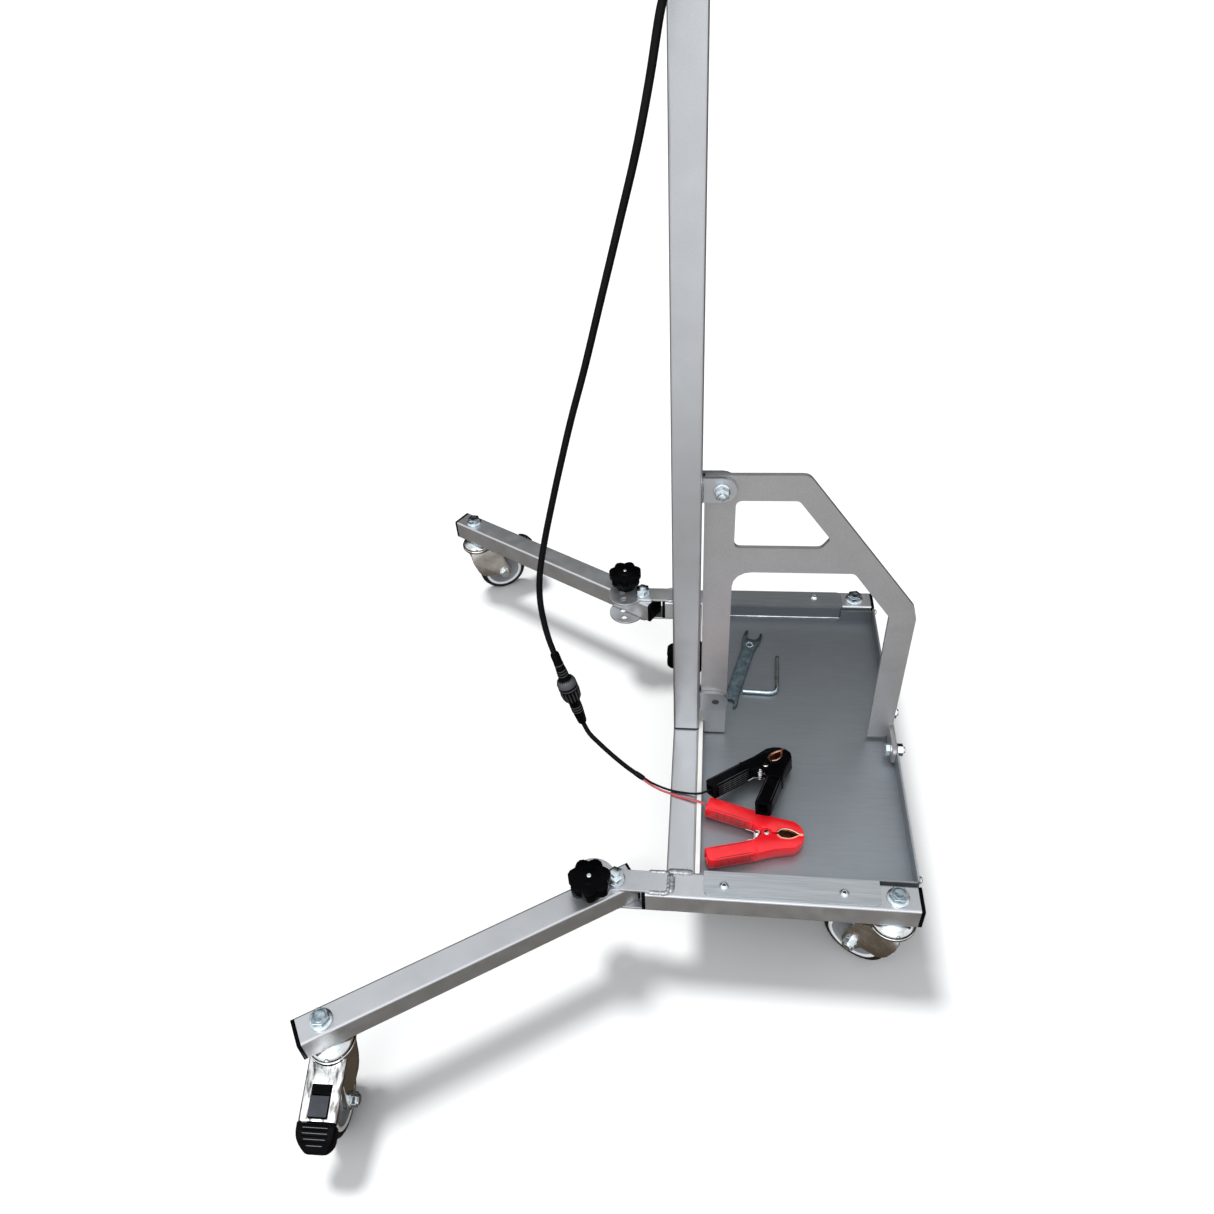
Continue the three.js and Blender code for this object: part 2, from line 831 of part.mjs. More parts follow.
function hexKey() {
  const section = outline(circlePoints(0, 0, keyRadius, 0, 300, 5));
  const bend = 8;
  const points = [[0, 66, 0]];
  points.push([0, bend, 0]);
  for (let k = 1; k < 6; k += 1) {
    const at = (k * Math.PI) / 12;
    points.push([-bend + bend * Math.cos(at), bend - bend * Math.sin(at), 0]);
  }
  points.push([-bend, 0, 0]);
  points.push([-43, 0, 0]);
  const path = new THREE.CurvePath();
  for (let k = 1; k < points.length; k += 1) {
    path.add(
      new THREE.LineCurve3(new THREE.Vector3(...points[k - 1]), new THREE.Vector3(...points[k])),
    );
  }
  return new THREE.ExtrudeGeometry(section, { steps: 20, bevelEnabled: false, extrudePath: path });
}

// ---------------------------------------------------------------- lead
const leadRoute = [
  [15, -33.9, glandHeight],
  [14.4, -42, 966.5],
  [12, -50.5, 959],
  [8, -54, 945],
  [3, -54, 928],
  [-1.8, -53.5, 912],
  [-10.2, -54.4, 870],
  [-20.7, -56.4, 825],
  [-36.3, -58.4, 770],
  [-52.8, -60.4, 713],
  [-69.8, -62.4, 654],
  [-85, -64.4, 605],
  [-98.1, -65.9, 559],
  [-108.4, -67.4, 521],
  [-121.6, -69.4, 469],
  [-129.5, -71.2, 430],
  [-132, -72.6, 399],
  [-130.6, -73.9, 370],
  [-127.4, -75.4, 346],
  [-123.4, -76.6, 327.3],
];
const connectorTop = new THREE.Vector3(-123.3, -76.7, 327);
const connectorFoot = new THREE.Vector3(-98.9, -83.8, 226.2);
const lowerRoute = [
  [-98.8, -83.9, 225.8],
  [-92.5, -85.6, 209],
  [-83, -87.4, 196],
  [-64, -90.4, 173],
  [-47.3, -93.6, 156.8],
  [-33.2, -98, 148.4],
];
const blackWireRoute = [
  [-31.6, -97.3, 147.4],
  [-24, -101, 144.8],
  [-11, -106, 142.6],
  [2, -109.8, 141.8],
  [18, -112.6, 142.2],
  [29, -114, 143.8],
  [36, -114, 145.7],
  [41.4, -112.2, 147],
  [46.4, -108.7, 146.5],
];
const redWireRoute = [
  [-31.6, -100.3, 147.1],
  [-24, -104.3, 144.6],
  [-11, -110.4, 142.6],
  [2, -114.6, 141.8],
  [18, -119.8, 142],
  [28, -122.6, 142.5],
  [35, -124.2, 142.1],
  [39.5, -124.2, 139.2],
  [43.6, -123.4, 136.2],
];

function connector() {
  const length = connectorTop.distanceTo(connectorFoot);
  const profile = [
    [0, 0],
    [4.6, 0],
    [5, 3],
    [4.9, 12],
    [5.9, 30],
    [6, 36],
    [9.4, 38.5],
    [10.6, 42],
    [10.6, 56],
    [9.6, 64],
    [7.4, 69],
    [6.6, 72],
    [6.2, 88],
    [5.2, length - 3],
    [4.2, length],
    [0, length],
  ];
  const direction = connectorFoot.clone().sub(connectorTop).normalize();
  const turn = new THREE.Quaternion().setFromUnitVectors(new THREE.Vector3(0, 0, 1), direction);
  return turned(profile, 20)
    .applyQuaternion(turn)
    .translate(connectorTop.x, connectorTop.y, connectorTop.z);
}

function gland() {
  return turned(
    [
      [leadRadius + gap, 0],
      [8.5, 0],
      [8.5, 5],
      [7.6, 6],
      [7.6, 12],
      [5.6, 18],
      [leadRadius + gap, 18],
      [leadRadius + gap, 0],
    ],
    20,
  )
    .rotateX(Math.PI / 2)
    .translate(tube / 2, -tube / 2 - gap, glandHeight);
}

// ---------------------------------------------------------------- assembly
[[-1, 'near', nearSplay, nearFrontHeading], [1, 'far', farSplay, farFrontHeading]].forEach(
  ([side, label, splay, heading]) => {
    add(label + '_side_tube', sideTube(side), 'paint');
    add(label + '_front_plug', railPlug(side, false), 'blackPlastic');
    add(label + '_rear_plug', railPlug(side, true), 'blackPlastic');
    add(label + '_hinge_top', hingePlate(side, splay, deckTop + gap, true), 'paint');
    add(
      label + '_hinge_bottom',
      hingePlate(side, splay, deckBottom - gap - plateThickness, false),
      'paint',
    );
    const legHeading = 180 - side * splay;
    const pivot = placed(pivotX, side * railY, deckTop - tube / 2, legHeading);
    add(label + '_leg_tube', legTube(), 'paint', pivot);
    add(label + '_leg_inner_plug', plugX(-legInner - 3, -legInner - gap, 8 - legInner), 'blackPlastic', pivot);
    add(
      label + '_leg_outer_plug',
      plugX(legOuter + gap, legOuter + plugCollar, legOuter - 8),
      'blackPlastic',
      pivot,
    );
    add(label + '_pivot_bolt', pivotBolt(), 'zinc', placed(pivotX, side * railY, deckTop - tube / 2, 12));
    const indexAt = rad(legHeading);
    add(
      label + '_index_knob',
      starKnob(knobRadius, 13.5, 12, 16, plateThickness),
      'blackPlastic',
      placed(
        pivotX + indexRadius * Math.cos(indexAt),
        side * railY + indexRadius * Math.sin(indexAt),
        deckTop + 2 * gap + plateThickness,
        20,
      ),
    );
    const legAt = rad(legHeading);
    caster(
      label + '_front_caster',
      pivotX + casterReach * Math.cos(legAt),
      side * railY + casterReach * Math.sin(legAt),
      heading,
      true,
    );
  },
);
caster('near_rear_caster', rearCasterX, -railY, nearRearHeading, false);
caster('far_rear_caster', rearCasterX, railY, farRearHeading, false);

add('cross_tube', crossTube(), 'paint');
add('tray', tray(), 'aluminium');
add('tray_edging', trayEdging(), 'paleTrim');
add('mast', mast(), 'paint');
add('mast_foot_plug', mastFoot(), 'blackPlastic');
add('brace_plate', bracePlate(), 'paint');
add('brace_bolt', braceBolt(), 'zinc');
const mastKnobPlace = new THREE.Matrix4()
  .makeTranslation(tube / 2, tube / 2 + gap, deckTop + mastKnobHeight)
  .multiply(new THREE.Matrix4().makeRotationX(-Math.PI / 2));
add('mast_knob', starKnob(mastKnobRadius, 11, 7, 14, 5), 'blackPlastic', mastKnobPlace);

const redPlace = placed(107, -157.5, clampFloor)
  .multiply(new THREE.Matrix4().makeTranslation(42, 0, 0))
  .multiply(new THREE.Matrix4().makeRotationY(rad(2.2)))
  .multiply(new THREE.Matrix4().makeTranslation(-42, 0, 0));
add('red_clamp_lead_half', clampHalfA(), 'redPlastic', redPlace);
add('red_clamp_free_half', clampHalfB(), 'redPlastic', redPlace);
const blackPlace = placed(109.7, -76.8, clampFloor + 12.6, 56.1)
  .multiply(new THREE.Matrix4().makeRotationY(rad(12)))
  .multiply(new THREE.Matrix4().makeRotationX(rad(-13.2)));
add('black_clamp_lead_half', clampHalfA(), 'blackPlastic', blackPlace);
add('black_clamp_free_half', clampHalfB(), 'blackPlastic', blackPlace);

add('wrench', wrench(), 'toolSteel', placed(83.6, 107, toolFloor, -14.2));
add('hex_key', hexKey(), 'toolSteel', placed(128, 310.5 - 245.4, toolFloor + 2.9, -2.5));

add('cable_gland', gland(), 'blackPlastic');
add('lead_upper', cord(leadRoute, leadRadius, 50), 'blackCable');
add('lead_connector', connector(), 'blackPlastic');
add('lead_lower', cord(lowerRoute, lowerLeadRadius, 14), 'blackCable');
add('lead_black_wire', cord(blackWireRoute, wireRadius, 20, 6), 'blackCable');
add('lead_red_wire', cord(redWireRoute, wireRadius, 20, 6), 'redWire');

export default model;
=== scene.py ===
"""Looks of the rolling stand base: camera, materials, lead, fasteners, welds, casters, clamps and light."""
import bpy
import json
import math
import random
from mathutils import Matrix, Vector


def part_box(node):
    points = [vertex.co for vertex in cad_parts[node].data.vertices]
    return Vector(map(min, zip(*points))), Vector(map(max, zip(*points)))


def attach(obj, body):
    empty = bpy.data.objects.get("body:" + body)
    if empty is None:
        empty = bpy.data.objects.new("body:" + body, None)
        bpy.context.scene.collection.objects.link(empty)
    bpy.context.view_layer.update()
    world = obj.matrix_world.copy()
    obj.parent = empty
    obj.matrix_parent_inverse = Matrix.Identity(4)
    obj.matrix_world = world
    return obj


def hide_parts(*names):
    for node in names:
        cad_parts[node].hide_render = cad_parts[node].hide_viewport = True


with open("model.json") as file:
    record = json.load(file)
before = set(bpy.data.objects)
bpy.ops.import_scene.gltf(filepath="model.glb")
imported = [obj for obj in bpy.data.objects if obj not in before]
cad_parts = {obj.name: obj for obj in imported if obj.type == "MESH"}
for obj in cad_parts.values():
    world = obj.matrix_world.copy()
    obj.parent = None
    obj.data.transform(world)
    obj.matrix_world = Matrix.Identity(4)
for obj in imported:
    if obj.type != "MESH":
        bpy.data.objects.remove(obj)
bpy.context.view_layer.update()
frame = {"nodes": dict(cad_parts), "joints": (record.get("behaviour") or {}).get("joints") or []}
nodes = frame["nodes"]
joints = {j["name"]: j for j in frame["joints"]}
WELD_SEED = 7
random.seed(WELD_SEED)

MM = 0.001
DECK = 140  # height of the top of the frame's tubes
RAIL_Y = 230.4  # centre line of a side tube
GAP = 0.3  # clearance where real parts touch
SIDES = ((-1, "near"), (1, "far"))

# The drawing frame: x = 0 at the cross tube's front face, y = 0 on the centre line, millimetres.
cross_low, cross_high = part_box("cross_tube")
ORIGIN = Vector((cross_low.x, (cross_low.y + cross_high.y) / 2, 0))


def at(x, y, z):
    """A point of the drawing frame in the frame's metres."""
    return Vector((x, y, z)) * MM + ORIGIN


# ---------------------------------------------------------------- camera
YAW = math.radians(-10.645)
PITCH = math.radians(41.631)
ROLL = math.radians(-5.8975)
EYE = (36.6, -791.6, 1045.8)
SENSOR = 36.0
FOCAL = 28.458
SHIFT = (0.0282, -0.0028)
CLIP_START = 0.01


def make_camera():
    """The photograph's view, from the solved eye, angles and lens."""
    forward = Vector((math.sin(YAW) * math.cos(PITCH), math.cos(YAW) * math.cos(PITCH), -math.sin(PITCH)))
    level = Vector((math.cos(YAW), -math.sin(YAW), 0))
    above = level.cross(forward)
    right = math.cos(ROLL) * level + math.sin(ROLL) * above
    up = -math.sin(ROLL) * level + math.cos(ROLL) * above
    data = bpy.data.cameras.new("camera")
    data.sensor_width = SENSOR
    data.lens = FOCAL
    data.shift_x, data.shift_y = SHIFT
    data.clip_start = CLIP_START
    camera = bpy.data.objects.new("camera", data)
    bpy.context.scene.collection.objects.link(camera)
    turn = Matrix((right, up, -forward)).transposed().to_4x4()
    camera.matrix_world = Matrix.Translation(at(*EYE)) @ turn
    bpy.context.scene.camera = camera


make_camera()


# ---------------------------------------------------------------- mesh helpers
MERGE = 0.00002  # metres; CAD corners closer than this are one vertex


def link_object(name, data, body, mat):
    """An object with one material, riding on a body."""
    obj = bpy.data.objects.new(name, data)
    bpy.context.scene.collection.objects.link(obj)
    data.materials.append(mat)
    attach(obj, body)
    return obj


def piece(name, points, faces, body, mat, smooth=40):
    """A mesh riding on a body; edges sharper than smooth degrees stay sharp."""
    mesh = bpy.data.meshes.new(name)
    mesh.from_pydata([tuple(p) for p in points], [], faces)
    mesh.validate()
    mesh.update()
    obj = link_object(name, mesh, body, mat)
    soften(obj, smooth)
    return obj


def soften(obj, angle):
    """Smooth shading but for edges sharper than an angle in degrees."""
    for polygon in obj.data.polygons:
        polygon.use_smooth = True
    obj.data.set_sharp_from_angle(angle=math.radians(angle))


def bevel(obj, width, segments=2, angle=35, weld=False):
    """Rounds the sharp edges by a width in mm; weld first joins the corners that CAD faces share."""
    if weld:
        merge = obj.modifiers.new("merge", "WELD")
        merge.merge_threshold = MERGE
    edge = obj.modifiers.new("edge", "BEVEL")
    edge.width = width * MM
    edge.segments = segments
    edge.limit_method = "ANGLE"
    edge.angle_limit = math.radians(angle)
    edge.harden_normals = True
    edge.use_clamp_overlap = True


def lathe(name, profile, place, body, mat, sides=32):
    """Turned about the local Z of place; profile is [(radius, z)] in mm, closed on the axis or on itself."""
    points, faces, rings = [], [], []
    for r, z in profile:
        if r < 1e-6:
            rings.append([len(points)])
            points.append(place @ (Vector((0, 0, z)) * MM))
            continue
        rings.append(list(range(len(points), len(points) + sides)))
        for k in range(sides):
            turn = 2 * math.pi * k / sides
            points.append(place @ (Vector((r * math.cos(turn), r * math.sin(turn), z)) * MM))
    for a, b in zip(rings, rings[1:]):
        for k in range(sides):
            n = (k + 1) % sides
            if len(a) == 1 and len(b) > 1:
                faces.append((a[0], b[n], b[k]))
            elif len(b) == 1 and len(a) > 1:
                faces.append((a[k], a[n], b[0]))
            elif len(a) > 1:
                faces.append((a[k], a[n], b[n], b[k]))
    return piece(name, points, faces, body, mat)


def sweep(points, radius, sides=8):
    """Vertices and faces of a closed tube along points; radius is a number or one for each point."""
    count = len(points)
    radii = radius if isinstance(radius, list) else [radius] * count
    verts, faces = [], []
    normal = None
    for i, p in enumerate(points):
        ahead = (points[min(i + 1, count - 1)] - points[max(i - 1, 0)]).normalized()
        if normal is None:
            normal = ahead.orthogonal().normalized()
        normal = (normal - ahead * normal.dot(ahead)).normalized()
        side = ahead.cross(normal)
        for k in range(sides):
            turn = 2 * math.pi * k / sides
            verts.append(p + radii[i] * (normal * math.cos(turn) + side * math.sin(turn)))
    for i in range(count - 1):
        for k in range(sides):
            n = (k + 1) % sides
            a = i * sides
            faces.append((a + k, a + n, a + sides + n, a + sides + k))
    faces.append(tuple(reversed(range(sides))))
    faces.append(tuple(range((count - 1) * sides, count * sides)))
    return verts, faces


def prism(name, outline, low, high, place, body, mat, edge, segments=2):
    """An outline in local XY extruded from low to high with bevelled edges, all in mm."""
    count = len(outline)
    area = sum(outline[i - 1][0] * outline[i][1] - outline[i][0] * outline[i - 1][1] for i in range(count))
    loop = outline if area > 0 else outline[::-1]
    points = [place @ (Vector((x, y, z)) * MM) for z in (low, high) for x, y in loop]
    faces = [tuple(reversed(range(count))), tuple(range(count, 2 * count))]
    faces += [(i, (i + 1) % count, count + (i + 1) % count, count + i) for i in range(count)]
    bevel(piece(name, points, faces, body, mat, 30), edge, segments)


def hexagon(across):
    """Corners of a hexagon, by its size across the flats."""
    reach = across / math.sqrt(3)
    turns = [math.radians(30 + 60 * k) for k in range(6)]
    return [(reach * math.cos(t), reach * math.sin(t)) for t in turns]


def place_on(point, direction, turn=0.0):
    """A place at point with local Z along direction, turned about it by some degrees."""
    rotation = Vector(direction).to_track_quat("Z", "Y").to_matrix().to_4x4()
    return Matrix.Translation(point) @ rotation @ Matrix.Rotation(math.radians(turn), 4, "Z")


# ---------------------------------------------------------------- material helpers
HEIGHTS = (0.3, 0.7)  # the range that most of a noise pattern's heights fall in


def material(name, colour, roughness, metallic=0.0, **sockets):
    """A Principled material; sockets are further inputs, with _ for the spaces in their names."""
    mat = bpy.data.materials.new(name)
    mat.use_nodes = True
    shader = shader_of(mat)
    shader.inputs["Base Color"].default_value = (*colour, 1)
    shader.inputs["Roughness"].default_value = roughness
    shader.inputs["Metallic"].default_value = metallic
    for key, value in sockets.items():
        shader.inputs[key.replace("_", " ")].default_value = value
    return mat


def shader_of(mat):
    return mat.node_tree.nodes["Principled BSDF"]


def add_node(owner, kind, **settings):
    """A new node in the tree of a material or of the world."""
    made = owner.node_tree.nodes.new(kind)
    for key, value in settings.items():
        setattr(made, key, value)
    return made


def wire(owner, source, target):
    owner.node_tree.links.new(source, target)


def feed(owner, source, target):
    """Wires a socket to another one, or sets it to a number or colour."""
    if isinstance(source, bpy.types.NodeSocket):
        wire(owner, source, target)
    else:
        target.default_value = source


def noise(mat, where, scale, detail):
    """A noise texture at the given coordinates; scale is in cycles for each metre."""
    made = add_node(mat, "ShaderNodeTexNoise")
    made.inputs["Scale"].default_value = scale
    made.inputs["Detail"].default_value = detail
    wire(mat, where, made.inputs["Vector"])
    return made


def pattern(mat, scale, stretch=(1, 1, 1), detail=3.0):
    """Height of a noise pattern in the piece's own frame, squeezed along its axes by stretch."""
    where = add_node(mat, "ShaderNodeTexCoord")
    mapping = add_node(mat, "ShaderNodeMapping")
    mapping.inputs["Scale"].default_value = stretch
    wire(mat, where.outputs["Object"], mapping.inputs["Vector"])
    made = noise(mat, mapping.outputs[0], scale, detail)
    made.inputs["Roughness"].default_value = 0.6
    return made.outputs["Fac"]


def remap(owner, value, start, end, low=0.0, high=1.0):
    """A value that runs from start to end, turned into one that runs from low to high and stops there."""
    made = add_node(owner, "ShaderNodeMapRange")
    made.inputs["From Min"].default_value = start
    made.inputs["From Max"].default_value = end
    made.inputs["To Min"].default_value = low
    made.inputs["To Max"].default_value = high
    wire(owner, value, made.inputs["Value"])
    return made.outputs["Result"]


def along_axis(mat, axis, start, end, low=0.0, high=1.0):
    """A value that follows one axis of the piece's own frame, start and end in metres."""
    where = add_node(mat, "ShaderNodeTexCoord")
    split = add_node(mat, "ShaderNodeSeparateXYZ")
    wire(mat, where.outputs["Object"], split.inputs[0])
    return remap(mat, split.outputs[axis], start, end, low, high)


def colours(mat, height, low, high, spread=HEIGHTS):
    """A colour between low and high that follows a height."""
    ramp = add_node(mat, "ShaderNodeValToRGB")
    for element, position, colour in zip(ramp.color_ramp.elements, spread, (low, high)):
        element.position = position
        element.color = (*colour, 1)
    wire(mat, height, ramp.inputs["Fac"])
    return ramp.outputs["Color"]


def tint(mat, height, low, high, spread=HEIGHTS):
    """Base colour runs between two colours with a pattern's height."""
    wire(mat, colours(mat, height, low, high, spread), shader_of(mat).inputs["Base Color"])


def mixed(owner, blend, factor, first, second):
    """Two colours mixed; each of the three may be a value or a socket."""
    mix = add_node(owner, "ShaderNodeMix", data_type="RGBA", blend_type=blend)
    feed(owner, factor, mix.inputs["Factor"])
    feed(owner, first, mix.inputs["A"])
    feed(owner, second, mix.inputs["B"])
    return mix.outputs["Result"]


def multiply(mat, factor):
    """Multiplies what already feeds the base colour by a grey or a value."""
    target = shader_of(mat).inputs["Base Color"]
    wire(mat, mixed(mat, "MULTIPLY", 1.0, target.links[0].from_socket, factor), target)


def cloud(mat, scale, low, high):
    """Soft, wide patches of slightly darker and lighter base colour."""
    multiply(mat, colours(mat, pattern(mat, scale), (low,) * 3, (high,) * 3))


def vary_roughness(mat, height, low, high):
    """Roughness runs between two values with a pattern's height."""
    wire(mat, remap(mat, height, *HEIGHTS, low, high), shader_of(mat).inputs["Roughness"])


def relief(mat, height, strength, distance):
    """Adds a pattern to the surface relief, on top of any relief already there."""
    made = add_node(mat, "ShaderNodeBump")
    made.inputs["Strength"].default_value = strength
    made.inputs["Distance"].default_value = distance
    wire(mat, height, made.inputs["Height"])
    target = shader_of(mat).inputs["Normal"]
    if target.links:
        wire(mat, target.links[0].from_socket, made.inputs["Normal"])
    wire(mat, made.outputs["Normal"], target)


def coated(name, low, high, roughness, metallic):
    """Metallic powder coat: fine sparkle, soft cloudiness, orange peel."""
    mat = material(name, high, roughness, metallic)
    tint(mat, pattern(mat, 1400, detail=2), low, high, (0.35, 0.65))
    cloud(mat, 9, 0.93, 1.04)
    vary_roughness(mat, pattern(mat, 60), roughness - 0.05, roughness + 0.06)
    relief(mat, pattern(mat, 420, detail=2), 0.10, 0.0006)
    relief(mat, pattern(mat, 2200, detail=1), 0.10, 0.0002)
    return mat


def plated(name, low, high, roughness, grain):
    """Bright plating with soft cloudiness of the given grain and fine handling marks."""
    mat = material(name, high, roughness, 1.0)
    tint(mat, pattern(mat, grain, detail=5), low, high, (0.35, 0.68))
    vary_roughness(mat, pattern(mat, grain * 2.5, detail=5), roughness * 0.7, roughness * 1.5)
    relief(mat, pattern(mat, grain * 7, detail=3), 0.12, 0.0005)
    return mat


def moulded(name, low, high, roughness, coat=0.0, specular=0.5):
    """Moulded plastic or rubber: fine texture, slight bloom."""
    mat = material(name, high, roughness, Coat_Weight=coat, Coat_Roughness=0.18, Specular_IOR_Level=specular)
    tint(mat, pattern(mat, 45, detail=4), low, high, (0.35, 0.7))
    vary_roughness(mat, pattern(mat, 160, detail=4), roughness - 0.07, roughness + 0.1)
    relief(mat, pattern(mat, 1500, detail=2), 0.12, 0.0003)
    return mat


def cover_chrome_painted_reflection(name, heading):
    """Chrome with long dark and bright streaks painted along one heading: a painted reflection."""
    mat = material(name, (0.8, 0.8, 0.8), 0.22, 1.0)
    where = add_node(mat, "ShaderNodeTexCoord")
    along = add_node(mat, "ShaderNodeMapping", vector_type="TEXTURE")
    along.inputs["Rotation"].default_value = (0, 0, math.radians(heading))
    along.inputs["Scale"].default_value = (6, 1, 1)
    wire(mat, where.outputs["Object"], along.inputs["Vector"])
    streaks = noise(mat, along.outputs[0], 230, 4)
    # Painted reflection: the dark and bright streaks are in the base colour.
    tint(mat, streaks.outputs["Fac"], (0.16, 0.155, 0.15), (0.84, 0.84, 0.83), (0.38, 0.58))
    vary_roughness(mat, pattern(mat, 240), 0.14, 0.34)
    relief(mat, pattern(mat, 500, detail=3), 0.10, 0.0004)
    return mat


FLANGE_RISE = (0.1375, 0.1405)  # heights in metres between which a wall turns into a flange
BRUSHED = (0.05, 1, 1)  # small along the brush marks
# Painted shade: the tray is darkened from the near side to the far side, standing in for the shade there.
TRAY_SHADE_FADE = (-0.19, 0.25)  # from the near side to the far side, metres
TRAY_FAR_SHADE_LEVEL = 0.55
# Painted shade: the mast is darkened from above the brace down to its foot, standing in for the shade there.
MAST_SHADE_FADE = (0.62, 0.16)  # heights from above the brace down to the foot, metres
MAST_FOOT_SHADE_LEVEL = 0.66


def tray_sheet():
    """Brushed sheet, lighter on the bent flanges, with painted shade that darkens it toward the far side."""
    low, high, roughness = (0.345, 0.375, 0.405), (0.375, 0.407, 0.438), 0.42
    mat = material("tray_sheet", high, roughness, 0.85)
    tint(mat, pattern(mat, 700, BRUSHED, 4), low, high, (0.32, 0.68))
    cloud(mat, 7, 0.94, 1.04)
    vary_roughness(mat, pattern(mat, 900, BRUSHED, 4), roughness - 0.06, roughness + 0.08)
    relief(mat, pattern(mat, 1100, BRUSHED, 3), 0.03, 0.0002)
    flange = colours(mat, pattern(mat, 600, (0.03, 1, 1), 4), (0.43, 0.46, 0.48), (0.58, 0.61, 0.63))
    target = shader_of(mat).inputs["Base Color"]
    lift = along_axis(mat, "Z", *FLANGE_RISE)
    wire(mat, mixed(mat, "MIX", lift, target.links[0].from_socket, flange), target)
    # Painted shade: darker toward the far side.
    multiply(mat, along_axis(mat, "Y", *TRAY_SHADE_FADE, 1.0, TRAY_FAR_SHADE_LEVEL))
    return mat


def mast_coat_painted_shade():
    """The tubes' coating, with painted shade that darkens it toward the mast's foot."""
    mat = coated("mast_powder_coat_painted_shade", *TUBE_COATING)
    # Painted shade: darker toward the foot.
    multiply(mat, along_axis(mat, "Z", *MAST_SHADE_FADE, 1.0, MAST_FOOT_SHADE_LEVEL))
    return mat


TUBE_COATING = ((0.55, 0.56, 0.575), (0.63, 0.645, 0.665), 0.33, 0.88)
COAT = coated("grey_powder_coat", *TUBE_COATING)
BRACE_COAT = coated("brace_powder_coat", (0.40, 0.395, 0.395), (0.48, 0.475, 0.48), 0.44, 0.8)
ZINC = plated("zinc_plate", (0.60, 0.68, 0.73), (0.80, 0.86, 0.90), 0.22, 110)
BOLT = plated("bolt_zinc", (0.16, 0.215, 0.25), (0.50, 0.58, 0.63), 0.20, 200)
STEEL_CHROME = plated("caster_zinc", (0.60, 0.575, 0.54), (0.78, 0.77, 0.75), 0.22, 30)
CHROME = plated("polished_chrome", (0.55, 0.55, 0.54), (0.90, 0.90, 0.90), 0.12, 50)
COVERS = {
    "near_front": cover_chrome_painted_reflection("near_cover_chrome_painted_reflection", -88),
    "far_front": cover_chrome_painted_reflection("far_cover_chrome_painted_reflection", 26),
}
MAST_SHADED_COAT = mast_coat_painted_shade()
TRAY = tray_sheet()
TOOL = plated("tool_steel", (0.075, 0.105, 0.12), (0.16, 0.21, 0.235), 0.36, 120)
KEY = plated("hex_key_steel", (0.34, 0.42, 0.47), (0.55, 0.64, 0.69), 0.20, 420)
EDGING = moulded("pale_edging", (0.84, 0.82, 0.79), (0.93, 0.91, 0.88), 0.5)
BLACK = moulded("black_plastic", (0.001, 0.001, 0.0015), (0.003, 0.003, 0.0035), 0.28, 0.0, 0.035)
KNOB = moulded("knob_plastic", (0.0008, 0.0008, 0.001), (0.002, 0.002, 0.0025), 0.22, 0.0, 0.03)
RUBBER = moulded("tyre_rubber", (0.003, 0.003, 0.004), (0.011, 0.011, 0.012), 0.55, 0.0, 0.2)
HUB = moulded("hub_plastic", (0.13, 0.14, 0.15), (0.22, 0.23, 0.245), 0.42)
RIM = moulded("rim_plastic", (0.62, 0.63, 0.63), (0.80, 0.81, 0.81), 0.35, 0.2)
CABLE = moulded("black_cable", (0.002, 0.002, 0.0025), (0.006, 0.006, 0.0065), 0.36, 0.0, 0.1)
RED = moulded("red_vinyl", (0.80, 0.008, 0.016), (0.92, 0.014, 0.024), 0.34, 0.2)
RED_WIRE = moulded("red_wire", (0.42, 0.05, 0.07), (0.56, 0.09, 0.11), 0.42)
# Painted shade and painted highlight: a dark copper for the jaw's strip in the mouth, a bright copper for its
# lip.
JAW_COPPER_SHADE = plated("copper_jaw_painted_shade", (0.22, 0.07, 0.035), (0.50, 0.20, 0.11), 0.34, 220)
JAW_LIP_HIGHLIGHT = plated("copper_lip_painted_highlight", (0.78, 0.36, 0.22), (0.98, 0.62, 0.46), 0.24, 260)
# Painted shade: red grip lines in a darker red, standing in for the shade of grooves.
RED_RIB_SHADE = moulded("red_rib_painted_shade", (0.13, 0.001, 0.003), (0.22, 0.002, 0.005), 0.4)
# Painted highlight: black grip lines, rings and flutes in a lighter black than the plastic.
BLACK_RIB_HIGHLIGHT = moulded("black_rib_painted_highlight", (0.022, 0.023, 0.025), (0.048, 0.050, 0.053), 0.4)
# Painted highlight: the toe's ridges in a grey lighter than the black pedal.
TOE_RIDGE_HIGHLIGHT = moulded("pedal_ridge_painted_highlight", (0.15, 0.15, 0.155), (0.26, 0.26, 0.27), 0.4)
# Painted highlight: a grey band on the connector's shoulder.
SHOULDER_HIGHLIGHT = moulded("black_shoulder_painted_highlight", (0.035, 0.037, 0.040), (0.070, 0.073, 0.077), 0.3)
# Painted shade for the rivets' holes.
RIVET_HOLE_SHADE = moulded("rivet_hole_painted_shade", (0.02, 0.021, 0.022), (0.05, 0.052, 0.055), 0.6)
ROCKER = moulded("rocker_plastic", (0.030, 0.034, 0.042), (0.055, 0.060, 0.072), 0.4, 0.0, 0.3)
WELD = plated("weld_bead", (0.30, 0.31, 0.33), (0.58, 0.60, 0.62), 0.42, 300)


